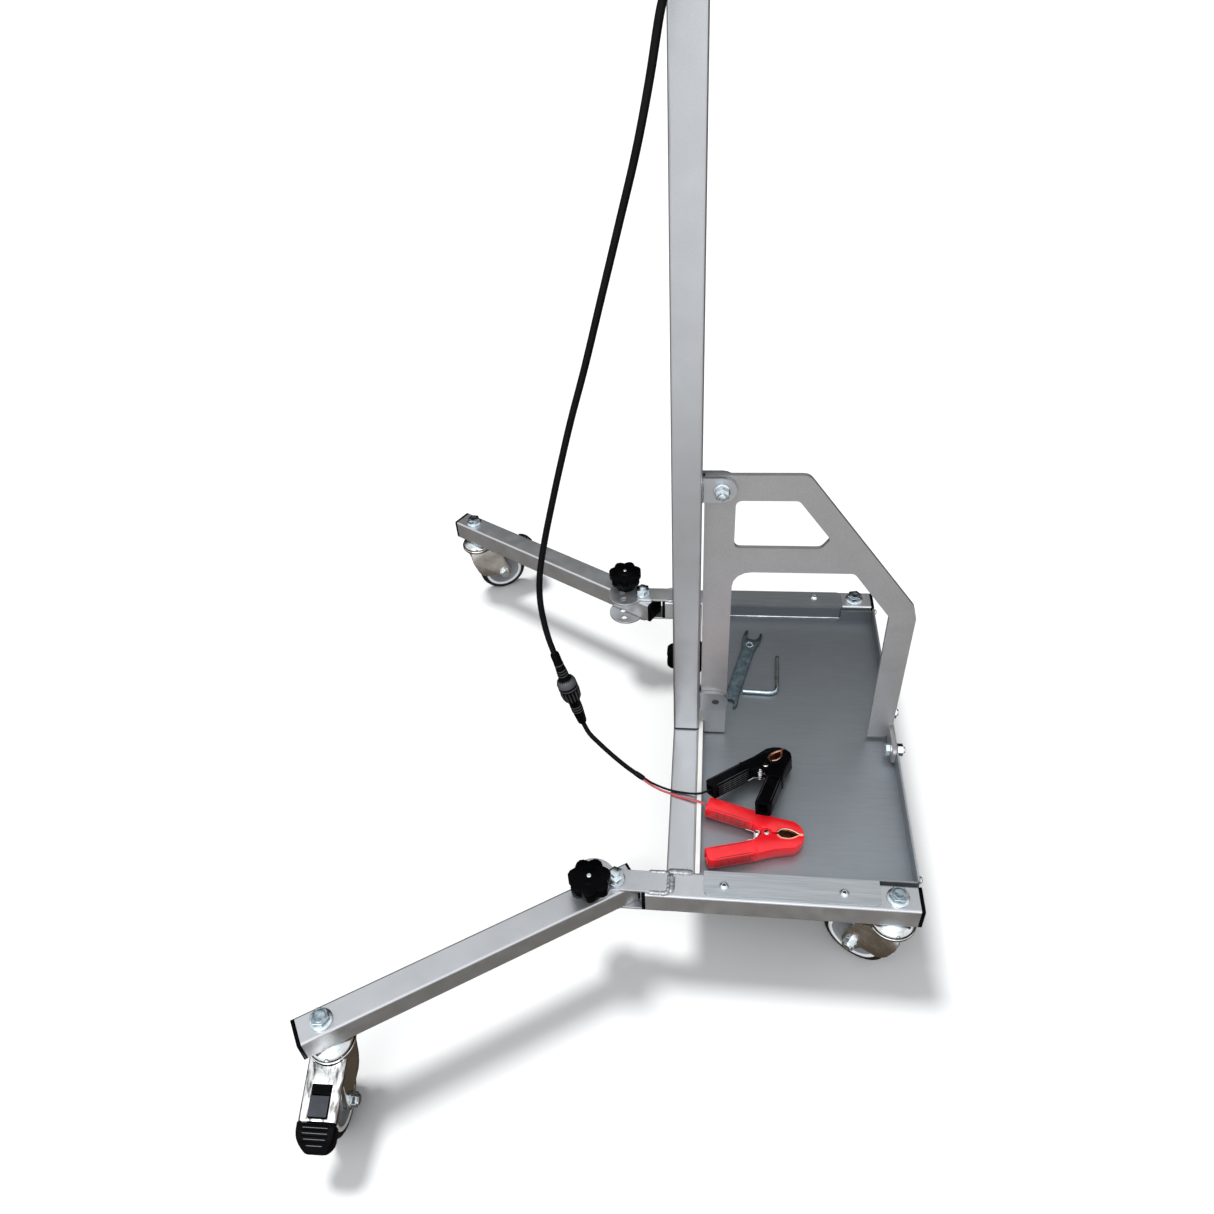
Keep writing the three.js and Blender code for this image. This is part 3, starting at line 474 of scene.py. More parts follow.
# ---------------------------------------------------------------- lead
def through(points, step=5.0):
    """Centripetal Catmull-Rom curve through points, sampled about every step mm."""
    vectors = [Vector(p) for p in points]
    ends = [vectors[0] * 2 - vectors[1], *vectors, vectors[-1] * 2 - vectors[-2]]
    out = []
    for a, b, c, d in zip(ends, ends[1:], ends[2:], ends[3:]):
        knots = [0.0]
        for p, q in ((a, b), (b, c), (c, d)):
            knots.append(knots[-1] + max((q - p).length, 1e-6) ** 0.5)
        count = max(2, round((c - b).length / step))
        for k in range(count):
            t = knots[1] + (knots[2] - knots[1]) * k / count
            level = [a, b, c, d]
            for width in (1, 2, 3):
                blended = []
                for i in range(len(level) - 1):
                    low, high = (knots[1], knots[2]) if width == 3 else (knots[i], knots[i + width])
                    blended.append((level[i] * (high - t) + level[i + 1] * (t - low)) / (high - low))
                level = blended
            out.append(level[0])
    out.append(vectors[-1])
    return out


def cable(name, route, diameter, mat, node):
    """A cord along a route in drawing millimetres, in place of its CAD node; gives its points and length."""
    points = [at(*p) for p in through(route)]
    data = bpy.data.curves.new(name, "CURVE")
    data.dimensions = "3D"
    data.bevel_depth = diameter / 2 * MM
    data.bevel_resolution = 4
    data.use_fill_caps = True
    spline = data.splines.new("POLY")
    spline.points.add(len(points) - 1)
    for target, point in zip(spline.points, points):
        target.co = (*point, 1)
    spline.use_smooth = True
    obj = link_object(name, data, "base", mat)
    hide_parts(node)
    length = sum((q - p).length for p, q in zip(points, points[1:]))
    return obj, points, length


LEAD_ROUTE = [
    (15, -33.9, 968), (14.4, -42, 966.5), (12, -50.5, 959), (8, -54, 945), (3, -54, 928),
    (-1.8, -53.5, 912), (-10.2, -54.4, 870), (-20.7, -56.4, 825), (-36.3, -58.4, 770),
    (-52.8, -60.4, 713), (-69.8, -62.4, 654), (-85, -64.4, 605), (-98.1, -65.9, 559),
    (-108.4, -67.4, 521), (-121.6, -69.4, 469), (-129.5, -71.2, 430), (-132, -72.6, 399),
    (-130.6, -73.9, 370), (-127.4, -75.4, 346), (-123.4, -76.6, 327.3),
]
LOWER_ROUTE = [
    (-98.8, -83.9, 225.8), (-92.5, -85.6, 209), (-83, -87.4, 196), (-64, -90.4, 173),
    (-47.3, -93.6, 156.8), (-33.2, -98, 148.4),
]
BLACK_WIRE_ROUTE = [
    (-31.6, -97.3, 147.4), (-24, -101, 144.8), (-11, -106, 142.6), (2, -109.8, 141.8),
    (18, -112.6, 142.2), (29, -114, 143.8), (36, -114, 145.7), (41.4, -112.2, 147), (46.4, -108.7, 146.5),
]
RED_WIRE_ROUTE = [
    (-31.6, -100.3, 147.1), (-24, -104.3, 144.6), (-11, -110.4, 142.6), (2, -114.6, 141.8),
    (18, -119.8, 142), (28, -122.6, 142.5), (35, -124.2, 142.1), (39.5, -124.2, 139.2), (43.6, -123.4, 136.2),
]
LEAD_DIAMETER = 6.5
LOWER_DIAMETER = 5.4
WIRE_DIAMETER = 2.6
SLEEVE_OVERLAP = 10  # length of the split sleeve that sits on the lead


def make_lead():
    """The lead from the mast to the clamps: two cables, the split's sleeve and two wires."""
    upper, points, length = cable(
        "lead_upper_cable", LEAD_ROUTE, LEAD_DIAMETER, CABLE, "lead_upper")
    lower, points, length = cable(
        "lead_lower_cable", LOWER_ROUTE, LOWER_DIAMETER, CABLE, "lead_lower")
    end = points[-1] - points[-4]
    split = lathe(
        "lead_split_sleeve",
        [(0, 0), (2.6, 0), (3.1, 0.8), (3.2, 9), (2.9, 12), (1.6, 13), (0, 13)],
        place_on(points[-1] - end.normalized() * SLEEVE_OVERLAP * MM, end),
        "base", CABLE, 20,
    )
    for colour, route, mat, slot in (
        ("black", BLACK_WIRE_ROUTE, CABLE, "black_cord"),
        ("red", RED_WIRE_ROUTE, RED_WIRE, "red_cord"),
    ):
        obj, points, length = cable(f"{colour}_wire", route, WIRE_DIAMETER, mat, f"lead_{colour}_wire")


make_lead()


# ---------------------------------------------------------------- the frame's own nodes
# How a node's name ends, its material and the bevel on its edges in mm; the first match counts.
FINISHES = (
    ("brace_plate", BRACE_COAT, 0.5),
    ("mast", MAST_SHADED_COAT, 0.0),
    (("cross_tube", "side_tube", "leg_tube"), COAT, 0.0),
    (("hinge_top", "hinge_bottom"), COAT, 0.4),
    ("plug", BLACK, 0.8),
    ("knob", KNOB, 0.7),
    (("stem", "bolt"), ZINC, 0.4),
    ("fork", STEEL_CHROME, 0.5),
    ("near_front_caster_brake_cover", COVERS["near_front"], 0.5),
    ("far_front_caster_brake_cover", COVERS["far_front"], 0.5),
    ("brake_pedal", BLACK, 0.6),
    ("hub", HUB, 0.5),
    ("tyre", RUBBER, 0.5),
    (("red_clamp_lead_half", "red_clamp_free_half"), RED, 1.4),
    (("black_clamp_lead_half", "black_clamp_free_half"), BLACK, 1.4),
    ("tray", TRAY, 0.4),
    ("tray_edging", EDGING, 0.4),
    ("wrench", TOOL, 0.4),
    ("hex_key", KEY, 0.3),
    (("cable_gland", "lead_connector"), BLACK, 0.5),
    ("", CABLE, 0.0),
)
NODE_SHARP = 32  # degrees


def finish_of(name):
    return next((mat, width) for ending, mat, width in FINISHES if name.endswith(ending))


for node_name, node in nodes.items():
    finish, bevel_width = finish_of(node_name)
    node.data.materials.clear()
    node.data.materials.append(finish)
    soften(node, NODE_SHARP)
    if bevel_width:
        bevel(node, bevel_width, 2, NODE_SHARP, weld=True)
    if finish in (COAT, MAST_SHADED_COAT, BRACE_COAT, TRAY, EDGING):
        node.modifiers.new("face_normals", "WEIGHTED_NORMAL").keep_sharp = True


# ---------------------------------------------------------------- fasteners and trim on the frame
FLANGE = 2.05  # the tray's flange and a hair more
RIVET_X = (61, 184)
REAR_WALL_X = 262.8  # outer face of the tray's rear wall
FOOT_X = 256  # seat of the foot bolts' washers
FOOT_BOLT_Y = 29.5
FOOT_BOLT_Z = 135
FOOT_HEX = 13
CORNER_SCREW_Y = 207
CORNER_SCREW_Z = 139


def rivets():
    """Blind rivets through the tray's flanges, each with a dark core in its hole that is painted shade."""
    profile = [(0, 0), (5.2, 0), (5.1, 0.5), (3.9, 2.2), (2.3, 3.1), (1.7, 2.9), (1.6, 1.2), (0, 1.2)]
    for side, label in SIDES:
        for k, x in enumerate(RIVET_X):
            place = Matrix.Translation(at(x, side * RAIL_Y, DECK + GAP + FLANGE))
            lathe(f"{label}_rivet_{k + 1}", profile, place, "base", ZINC, 28)
            # Painted shade: a dark core where the hole lies in shade.
            lathe(f"{label}_rivet_hole_shade_{k + 1}", [(0, 1.1), (1.55, 1.1), (1.4, 1.7), (0, 1.9)],
                  place, "base", RIVET_HOLE_SHADE, 16)


def foot_bolts():
    """Bolt, washer and nut on each side of the brace's foot."""
    for side, label in SIDES:
        y = side * FOOT_BOLT_Y
        nut = place_on(at(REAR_WALL_X, y, FOOT_BOLT_Z), (1, 0, 0), 10)
        prism(f"{label}_foot_nut", hexagon(FOOT_HEX), 0, 6.5, nut, "base", ZINC, 0.5)
        lathe(f"{label}_foot_stud", [(0, -0.5), (3.9, -0.5), (3.9, 8.2), (3.3, 9.0), (0, 9.0)],
              nut, "base", ZINC, 20)
        head = place_on(at(FOOT_X, y, FOOT_BOLT_Z), (-1, 0, 0), 5)
        lathe(f"{label}_foot_washer", [(0, 0), (7.8, 0), (7.8, 1.4), (0, 1.4)],
              head, "base", ZINC, 28)
        prism(f"{label}_foot_head", hexagon(FOOT_HEX), 1.5, 6.6, head, "base", ZINC, 0.6)


def corner_screws():
    """Round heads at the ends of the rear wall."""
    for side, label in SIDES:
        place = place_on(at(REAR_WALL_X, side * CORNER_SCREW_Y, CORNER_SCREW_Z), (1, 0, 0))
        lathe(f"{label}_corner_screw", [(0, 0), (3.7, 0), (3.6, 1.2), (2.4, 2.3), (0, 2.7)],
              place, "base", CHROME, 24)


CONNECTOR_ENDS = ((-123.3, -76.7, 327), (-98.9, -83.8, 226.2))
GRIP_RINGS = ((15, 5.05), (23, 5.5), (26.5, 5.75), (30, 5.95), (77, 6.5), (80.5, 6.45), (84, 6.4))
FLUTES = 16
FLUTE_LINE = ((10.5, 51.5), (10.6, 56), (9.7, 63.5), (8.6, 66.5))


def ring(name, radius, z, place, width, rise):
    """A raised band round the connector, z along it, in a lighter black that is a painted highlight."""
    half = width / 2
    lathe(name, [
        (radius - 0.4, z - half), (radius + rise * 0.7, z - half), (radius + rise, z - half * 0.4),
        (radius + rise, z + half * 0.4), (radius + rise * 0.7, z + half), (radius - 0.4, z + half),
        (radius - 0.4, z - half),
    ], place, "base", BLACK_RIB_HIGHLIGHT, 36)


def connector_trim():
    """Grip rings, a shoulder band and the flutes of the union nut on the lead's connector; the band's grey
    and the lighter black of rings and flutes are painted highlights.
    """
    top, foot = (at(*end) for end in CONNECTOR_ENDS)
    place = place_on(top, foot - top)
    for k, (z, radius) in enumerate(GRIP_RINGS):
        ring(f"connector_ring_{k + 1}", radius, z, place, 1.2, 0.3)
    lathe("connector_shoulder", [
        (6.3, 36.3), (9.7, 38.7), (10.9, 42.2), (10.9, 45.4), (10.2, 45.9), (10.2, 42.4), (9.1, 39.2),
        (6.0, 37.1), (6.3, 36.3),
    ], place, "base", SHOULDER_HIGHLIGHT, 40)
    ring("connector_collar", 10.6, 49, place, 1.6, 0.5)
    for k in range(FLUTES):
        turn = Matrix.Rotation(math.radians(360 / FLUTES * k), 4, "Z")
        path = [place @ turn @ (Vector((r, 0, z)) * MM) for r, z in FLUTE_LINE]
        verts, faces = sweep(path, [0.4 * MM, 0.8 * MM, 0.8 * MM, 0.3 * MM], 6)
        piece(f"connector_flute_{k + 1}", verts, faces, "base", BLACK_RIB_HIGHLIGHT)


WRENCH_MIDDLE = (83.6, 107)
WRENCH_HEADING = -14.2
INSERT_OFFSET = (0.3, 46, 0)


def wrench_nut():
    """Bright hexagon insert in the wrench's wide end."""
    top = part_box("wrench")[1].z
    turn = Matrix.Rotation(math.radians(WRENCH_HEADING), 4, "Z")
    place = Matrix.Translation(Vector((*at(*WRENCH_MIDDLE, 0).xy, top))) @ turn
    place = place @ Matrix.Translation(Vector(INSERT_OFFSET) * MM)
    lathe("wrench_insert", [
        (3.3, -0.3), (5.6, -0.3), (5.6, 0.5), (5.0, 1.0), (3.9, 0.9), (3.3, 0.2), (3.3, -0.3),
    ], place, "base", ZINC, 6)


TRAY_BEND_Y = 212.8
TRAY_BEND_Z = 121.3


def bend_highlight_strips():
    """Painted highlight: a thin chrome strip along the bend between the tray floor and each side wall,
    standing in for the light the bend catches.
    """
    for side, label in SIDES:
        path = [at(x, side * TRAY_BEND_Y, TRAY_BEND_Z) for x in (38, 40, 120, 200, 250, 252)]
        verts, faces = sweep(path, [0.4 * MM] + [1.0 * MM] * 4 + [0.4 * MM], 10)
        piece(f"{label}_tray_bend_highlight", verts, faces, "base", CHROME)


BEAD_SIDES = 10
CROSS_WELD_Y = 215.25
TONGUE_WELD_Z = 141.4
TONGUE_HALF = 12.4  # half the width of a hinge tongue, out to its weld
LUG_WELD_Z = (168.5, 475.5)
LUG_HEIGHT = 28


def weld(name, points, radius, flat=1.0):
    """A lumpy bead along a path given in drawing millimetres; flat squashes its height."""
    path = [at(*p) for p in through(points, 1.2)]
    radii = []
    for i in range(len(path)):
        ripple = 0.82 + 0.18 * abs(math.sin(i * 0.85)) + random.uniform(-0.07, 0.07)
        ends = min(1.0, 0.45 + 0.2 * min(i, len(path) - 1 - i))
        radii.append(radius * MM * ripple * ends)
    verts, faces = sweep(path, radii, BEAD_SIDES)
    for i, vert in enumerate(verts):
        middle = path[i // BEAD_SIDES].z
        vert.z = middle + (vert.z - middle) * flat
    piece(name, verts, faces, "base", WELD, 60)


def welds():
    """Beads at the cross tube's ends, round the hinge tongues and beside the brace's lugs."""
    for side, label in SIDES:
        y = side * CROSS_WELD_Y
        weld(f"{label}_cross_weld_top", [
            (1.5, y, DECK + 0.1), (10, y, DECK + 0.6), (20, y, DECK + 0.6), (28.5, y, DECK + 0.1),
        ], 4.0, flat=0.6)
        outer = side * (RAIL_Y + TONGUE_HALF)
        inner = side * (RAIL_Y - TONGUE_HALF)
        rise = TONGUE_WELD_Z
        weld(f"{label}_hinge_weld_end", [
            (-19, outer, rise), (-8, outer, rise), (0.5, outer - side * 0.4, rise),
            (2.4, outer - side * 3.5, rise), (2.6, side * RAIL_Y, rise), (2.4, inner + side * 3.5, rise),
            (0.5, inner + side * 0.4, rise), (-8, inner, rise), (-19, inner, rise),
        ], 2.7)
        weld(f"{label}_hinge_weld_tail", [
            (4.6, outer - side * 1.5, DECK + 0.6), (5.4, outer - side * 7, DECK + 0.7),
            (5.6, side * RAIL_Y, DECK + 0.7),
            (5.4, inner + side * 7, DECK + 0.7), (4.6, inner + side * 1.5, DECK + 0.6),
        ], 4.4, flat=0.6)
    for foot in LUG_WELD_Z:
        for side, label in SIDES:
            weld(f"lug_weld_{label}_{round(foot)}", [
                (30.4, side * 7.4, foot), (30.4, side * 7.4, foot + LUG_HEIGHT),
            ], 1.3)


rivets()
foot_bolts()
corner_screws()
connector_trim()
wrench_nut()
bend_highlight_strips()
welds()


# ---------------------------------------------------------------- casters
CASTERS = ("near_front", "far_front", "near_rear", "far_rear")
WHEEL_RADIUS = 37.5
TRAIL = 33.5
AXLE_HEX = 13.3
AXLE_FACE = 16.5  # outer face of an axle washer, from the wheel's middle
BOLT_HEX = 17.3
PEEN_TOWARD = Vector((0.12, -0.99, 0)).normalized()  # where the race's punched mark faces
PEEN_REACH = 22.6
PEEN_Z = 101.2


def carrier(label):
    """The body that a caster's stem is fixed to."""
    return "base" if "rear" in label else label.replace("front", "leg")


def caster_frame(label):
    """Place under the swivel with local X toward the wheel, the wheel's centre and the axle's direction."""
    swivel = Vector(joints[f"{label}_swivel"]["pos_m"])
    wheel = Vector(joints[f"{label}_wheel_roll"]["pos_m"])
    out = Vector((wheel.x - swivel.x, wheel.y - swivel.y, 0)).normalized()
    across = Vector((0, 0, 1)).cross(out)
    turn = Matrix((out, across, Vector((0, 0, 1)))).transposed().to_4x4()
    return Matrix.Translation(Vector((swivel.x, swivel.y, 0))) @ turn, wheel, across


def caster_details(label):
    """Rims and dishes of the wheel, the swivel race, and the axle's washers, head, nut and end."""
    place, wheel, across = caster_frame(label)
    wheel_body = f"{label}_wheel"
    for side, tag in ((-1, "a"), (1, "b")):
        face = place_on(wheel, across * side)
        lathe(f"{label}_rim_{tag}", [
            (25.2, 7.4), (25.6, 8.5), (26.4, 8.9), (28.9, 8.9), (29.7, 8.4), (29.9, 7.4), (25.2, 7.4),
        ], face, wheel_body, RIM, 64)
        lathe(f"{label}_dish_{tag}", [
            (8.4, 5.3), (9.2, 9.3), (10.4, 9.3), (12, 6.6), (21, 6.3), (24, 7.0), (25.3, 8.0), (25.3, 5.3),
            (8.4, 5.3),
        ], face, wheel_body, HUB, 48)
    parent = carrier(label)
    fork_body = f"{label}_fork"
    lathe(f"{label}_race_lip", [
        (18.0, 105.2), (21.2, 103.6), (22.7, 102.5), (23.2, 101.4), (23.1, 100.3), (22.4, 99.9), (21.6, 99.9),
        (21.6, 102.2), (18.0, 104.4), (18.0, 105.2),
    ], place, parent, CHROME, 64)
    lathe(f"{label}_race_cup", [
        (15.6, 93.7), (22.9, 93.7), (24.2, 94.8), (24.6, 96.2), (24.6, 98.4), (24.0, 99.0), (23.3, 98.7),
        (23.0, 96.0), (15.6, 95.4), (15.6, 93.7),
    ], place, fork_body, CHROME, 64)
    peen = Vector((place.translation.x, place.translation.y, PEEN_Z * MM)) + PEEN_TOWARD * PEEN_REACH * MM
    lathe(f"{label}_race_peen", [(0, -1), (2.3, -1), (2.3, 0.5), (1.8, 1.1), (0, 1.3)],
          place_on(peen, PEEN_TOWARD), parent, BOLT, 20)
    for side, tag, end in ((-1, "head", 20.7), (1, "nut", 21.7)):
        axle = place @ Matrix.Translation(Vector((TRAIL, 0, WHEEL_RADIUS)) * MM) @ Matrix.Rotation(
            math.radians(-90 * side), 4, "X")
        lathe(f"{label}_axle_washer_{tag}", [
            (0, 15.05), (8.2, 15.05), (8.2, 16.2), (7.8, AXLE_FACE), (0, AXLE_FACE),
        ], axle, fork_body, ZINC, 28)
        prism(f"{label}_axle_{tag}", hexagon(AXLE_HEX), AXLE_FACE, end, axle, fork_body, ZINC, 0.7, 3)
    lathe(f"{label}_axle_end", [(0, 21.5), (5.1, 21.5), (5.1, 23.3), (4.5, 23.8), (0, 23.8)],
          axle, fork_body, ZINC, 20)


ROCKER_START = 53  # distance of the rocker's upper end from the swivel axis
ROCKER_TOP = 87.2
ROCKER_SLOPE = 0.256
ROCKER_RIDGES = (54.5, 57.5, 60.5, 63.5)
TOE_RIDGES = ((76.6, 79.7, 12.6), (81, 77.6, 12.6), (85.4, 74.7, 11), (89.6, 70.2, 8))


def rocker_height(s):
    """Height of the rocker's sloping top at a distance s from the swivel axis."""
    return ROCKER_TOP - (s - ROCKER_START) * ROCKER_SLOPE


def ridge(name, place, s, height, half, taper, radii, body, mat):
    """A ridge across the pedal, s from the swivel axis, with thin ends."""
    line = [place @ (Vector((s, u, height)) * MM) for u in (-half, taper - half, 0, half - taper, half)]
    thin, thick = radii
    verts, faces = sweep(line, [r * MM for r in (thin, thick, thick, thick, thin)])
    piece(name, verts, faces, body, mat)


def brake_details(label):
    """The rocker's pad with its ridges, and the ridges on the toe of the pedal, which are painted highlights.
    """
    place, _, _ = caster_frame(label)
    body = f"{label}_brake"
    for k, s in enumerate(ROCKER_RIDGES):
        ridge(f"{label}_rocker_ridge_{k + 1}", place, s, rocker_height(s), 9.1, 0.5, (0.2, 0.55),
              body, ROCKER)
    slab = [(50.6, -9.3), (68.2, -9.3), (68.2, 9.3), (50.6, 9.3)]
    points = [
        place @ (Vector((s, u, rocker_height(s) + lift)) * MM) for lift in (0.05, 0.55) for s, u in slab
    ]
    faces = [(3, 2, 1, 0), (4, 5, 6, 7), (0, 1, 5, 4), (1, 2, 6, 5), (2, 3, 7, 6), (3, 0, 4, 7)]
    bevel(piece(f"{label}_rocker_pad", points, faces, body, ROCKER), 0.2)
    for k, (s, height, half) in enumerate(TOE_RIDGES):
        ridge(f"{label}_toe_ridge_{k + 1}", place, s, height, half, 0.6, (0.1, 0.3), body, TOE_RIDGE_HIGHLIGHT)


def bolt_head(label):
    """Bevelled hexagon head on a caster's bolt, over a bright washer."""
    place, _, _ = caster_frame(label)
    parent = carrier(label)
    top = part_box(f"{label}_caster_stem")[1].z
    head = place @ Matrix.Translation(Vector((0, 0, top)))
    prism(f"{label}_bolt_head", hexagon(BOLT_HEX), -5.6, 0.2, head, parent, BOLT, 1.0, 3)
    lathe(f"{label}_bolt_face", [(0, -0.2), (6.7, -0.2), (6.7, 0.4), (6.0, 0.8), (4.6, 0.6), (0, 0.5)],
          head, parent, BOLT, 32)
    lathe(f"{label}_bolt_washer", [(0, -8.1), (11.5, -8.1), (11.5, -6.6), (10.6, -5.9), (0, -5.9)],
          head, parent, ZINC, 36)


for caster in CASTERS:
    caster_details(caster)
    if "front" in caster:
        brake_details(caster)
for caster in CASTERS:
    bolt_head(caster)


def knob_centres():
    """Bright stud end in the middle of each star knob."""
    for _, label in SIDES:
        pin = Vector(joints[f"{label}_index_knob_turn"]["pos_m"])
        place = Matrix.Translation(Vector((pin.x, pin.y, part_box(f"{label}_index_knob")[1].z)))
        lathe(f"{label}_knob_centre", [(0, -0.4), (2.5, -0.4), (2.5, 0.2), (1.9, 0.75), (0, 0.8)],
              place, f"{label}_index", ZINC, 24)
    pin = Vector(joints["mast_knob_turn"]["pos_m"])
    face = Vector((pin.x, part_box("mast_knob")[1].y, pin.z))
    lathe("mast_knob_centre", [(0, -0.4), (3.8, -0.4), (3.8, 0.2), (3.0, 0.75), (0, 0.8)],
          place_on(face, (0, 1, 0)), "mast_clamp_knob", ZINC, 24)


knob_centres()


# ---------------------------------------------------------------- battery clamps
# A clamp half lies in local XY: the hinge pin at the origin, the nose along +X, the handle along
# HANDLE from its neck. The lead half is on the +Y side, the free half is its mirror image.
CLAMP_DEPTH = 16
CLAMP_FLOOR = 120.9  # the tray's floor with a small clearance
NOSE_TIP = 42
NECK = Vector((-14.4, 10.8))
HANDLE = Vector((-0.96, 0.281))
ACROSS = Vector((0.281, 0.96))
HANDLE_WIDTH = 17.1
RIB_HEIGHTS = (2.6, 5.4, 8.2, 11, 13.6)
JAW_LINE = [(11.5, 1.9), (15, 5.5), (19, 6.3), (23, 6.5), (27, 5.4), (31, 3.5), (35, 0.95), (39.5, 0.75)]
SPRING_TURNS = 5
SPRING_STEPS = 12  # points in each turn
SPRING_RADIUS = 2.6
SPRING_PITCH = 2.1
SPRING_FOOT = 3.2
SPRING_MIDDLE = (-10.5, 1.6)
SPRING_WIRE = 0.75  # radius


def clamp_place(x, y, lift, heading, pitch, roll, about=0.0):
    """A clamp's place: the pin's drawing position, leant by pitch and roll about a point on its nose line."""
    turn = Matrix.Rotation(math.radians(heading), 4, "Z") @ Matrix.Translation(Vector((about, 0, 0)) * MM)
    lean = Matrix.Rotation(math.radians(pitch), 4, "Y") @ Matrix.Rotation(math.radians(roll), 4, "X")
    return Matrix.Translation(at(x, y, CLAMP_FLOOR + lift)) @ turn @ lean @ Matrix.Translation(
        Vector((-about, 0, 0)) * MM)


def clamp_ribs(name, place, side, body, mat):
    """Grip lines along the faces of one handle and across its outer face, joined in one mesh; their material
    is painted shade on the red clamp and painted highlight on the black one.
    """
    points, faces = [], []

    def add_line(ends, radius):
        path = [place @ (ends[0].lerp(ends[1], k / 5) * MM) for k in range(6)]
        verts, quads = sweep(path, [radius * 0.4 * MM] + [radius * MM] * 4 + [radius * 0.4 * MM], 6)
        faces.extend(tuple(i + len(points) for i in quad) for quad in quads)
        points.extend(verts)

    def spot(along, offset, height):
        flat = NECK + HANDLE * along + ACROSS * offset
        return Vector((flat.x, side * flat.y, height))

    for offset in (-0.1, HANDLE_WIDTH + 0.05):
        for height in RIB_HEIGHTS:
            add_line((spot(4, offset, height), spot(49, offset, height)), 0.5)
        for along in (9, 17, 25, 33, 41):
            add_line((spot(along, offset, RIB_HEIGHTS[0]), spot(along, offset, RIB_HEIGHTS[-1])), 0.4)
    for offset in (1.6, HANDLE_WIDTH - 1.6):
        add_line((spot(3, offset, CLAMP_DEPTH), spot(50, offset, CLAMP_DEPTH)), 0.45)
    piece(name, points, faces, body, mat)


def clamp_collar(name, place, side, body, mat):
    """Raised band where the handle sleeve meets the nose sleeve."""
    outline = []
    for along, offset in ((0.2, -0.7), (2.2, -0.7), (2.2, HANDLE_WIDTH + 0.7), (0.2, HANDLE_WIDTH + 0.7)):
        corner = NECK + HANDLE * along + ACROSS * offset
        outline.append((corner.x, side * corner.y))
    prism(name, outline, 0.1, CLAMP_DEPTH + 0.6, place, body, mat, 0.6, 3)


def clamp_jaw(name, place, side, body):
    """Copper lining of one jaw: a toothed strip along the mouth in a dark copper that is painted shade, under
    a rolled lip in a bright copper that is a painted highlight.
    """
    inner = []
    for i, (x, y) in enumerate(JAW_LINE):
        tooth = 0.0 if i % 2 else 0.45
        inner.append((x, side * max(0.25, y - 1.3 - tooth)))
    outline = [(x, side * (y + 0.25)) for x, y in JAW_LINE] + inner[::-1]
    prism(name, outline, 1.2, CLAMP_DEPTH - 1.2, place, body, JAW_COPPER_SHADE, 0.25, 2)
    lip = [place @ (Vector((x, side * max(0.5, y - 0.2), CLAMP_DEPTH - 0.3)) * MM) for x, y in JAW_LINE]
    verts, faces = sweep(lip, 1.15 * MM, 8)
    piece(f"{name}_lip", verts, faces, body, JAW_LIP_HIGHLIGHT)


def clamp_spring(name, place, free_body):
    """Closing spring in the neck: the coil and one leg on the lead half, the other leg on the free half."""
    top = SPRING_FOOT + SPRING_PITCH * SPRING_TURNS
    leg, coil = [], []
    for k in range(3):
        flat = NECK * 0.92 + HANDLE * (9 - 4 * k)
        coil.append(Vector((flat.x, flat.y - 1.6, SPRING_FOOT)))
        leg.append(Vector((flat.x, 1.6 - flat.y, top)))
    x, y = SPRING_MIDDLE
    for k in range(SPRING_TURNS * SPRING_STEPS):
        turn = 2 * math.pi * k / SPRING_STEPS + 1.2
        rise = SPRING_FOOT + SPRING_PITCH * k / SPRING_STEPS
        coil.append(Vector((x + SPRING_RADIUS * math.cos(turn), y + SPRING_RADIUS * math.sin(turn), rise)))
    leg.append(Vector((-12.6, -5.4, top)))
    for tag, path, body in (("coil", coil, "base"), ("leg", leg, free_body)):
        verts, faces = sweep([place @ (p * MM) for p in path], SPRING_WIRE * MM)
        piece(f"{name}_{tag}", verts, faces, body, CHROME)


def clamp_details():
    """Ribs, collars, jaws, springs and pins of the clamps, each in its own place in the tray."""
    for colour, place, mat, rib in (
        ("red", clamp_place(107, -157.5, lift=0, heading=0, pitch=2.2, roll=0, about=NOSE_TIP),
         RED, RED_RIB_SHADE),
        ("black", clamp_place(109.7, -76.8, lift=12.6, heading=56.1, pitch=12, roll=-13.2),
         BLACK, BLACK_RIB_HIGHLIGHT),
    ):
        for side, tag, body in ((1, "lead", "base"), (-1, "free", f"{colour}_clamp_jaw")):
            label = f"{colour}_clamp_{tag}"
            clamp_ribs(f"{label}_ribs", place, side, body, rib)
            clamp_collar(f"{label}_collar", place, side, body, mat)
            clamp_jaw(f"{label}_jaw", place, side, body)
        clamp_spring(f"{colour}_clamp_spring", place, f"{colour}_clamp_jaw")
        head = [(0, -0.4), (3.1, -0.4), (3.1, 0.4), (2.5, 1.1), (0, 1.5)]
        lathe(f"{colour}_clamp_pin", head, place @ Matrix.Translation(Vector((0, 0, CLAMP_DEPTH - 0.4)) * MM),
              "base", CHROME, 24)


clamp_details()


# ---------------------------------------------------------------- light and floor
TOWARD_LIGHT = (-0.06, -0.695, 0.719)
# The world's colour by how far a direction leans toward the light, from -1 (away) to 1.
SKY = (
    (-0.64, (0.085, 0.067, 0.049)), (-0.25, (0.12, 0.098, 0.075)), (-0.1, (0.19, 0.158, 0.124)),
    (0.0, (0.285, 0.254, 0.216)), (0.09, (0.44, 0.422, 0.40)), (0.2, (0.74, 0.755, 0.77)),
    (0.34, (1.02, 1.05, 1.085)), (0.75, (1.02, 1.045, 1.07)), (1.0, (1.9, 1.95, 2.0)),
)
BEHIND = (0.56, 0.8)  # the world dims over this range of a direction's Y
BEHIND_LEVEL = 0.08
BACKDROP = (1, 1, 1, 1)
FLOOR_REACH = 60  # metres


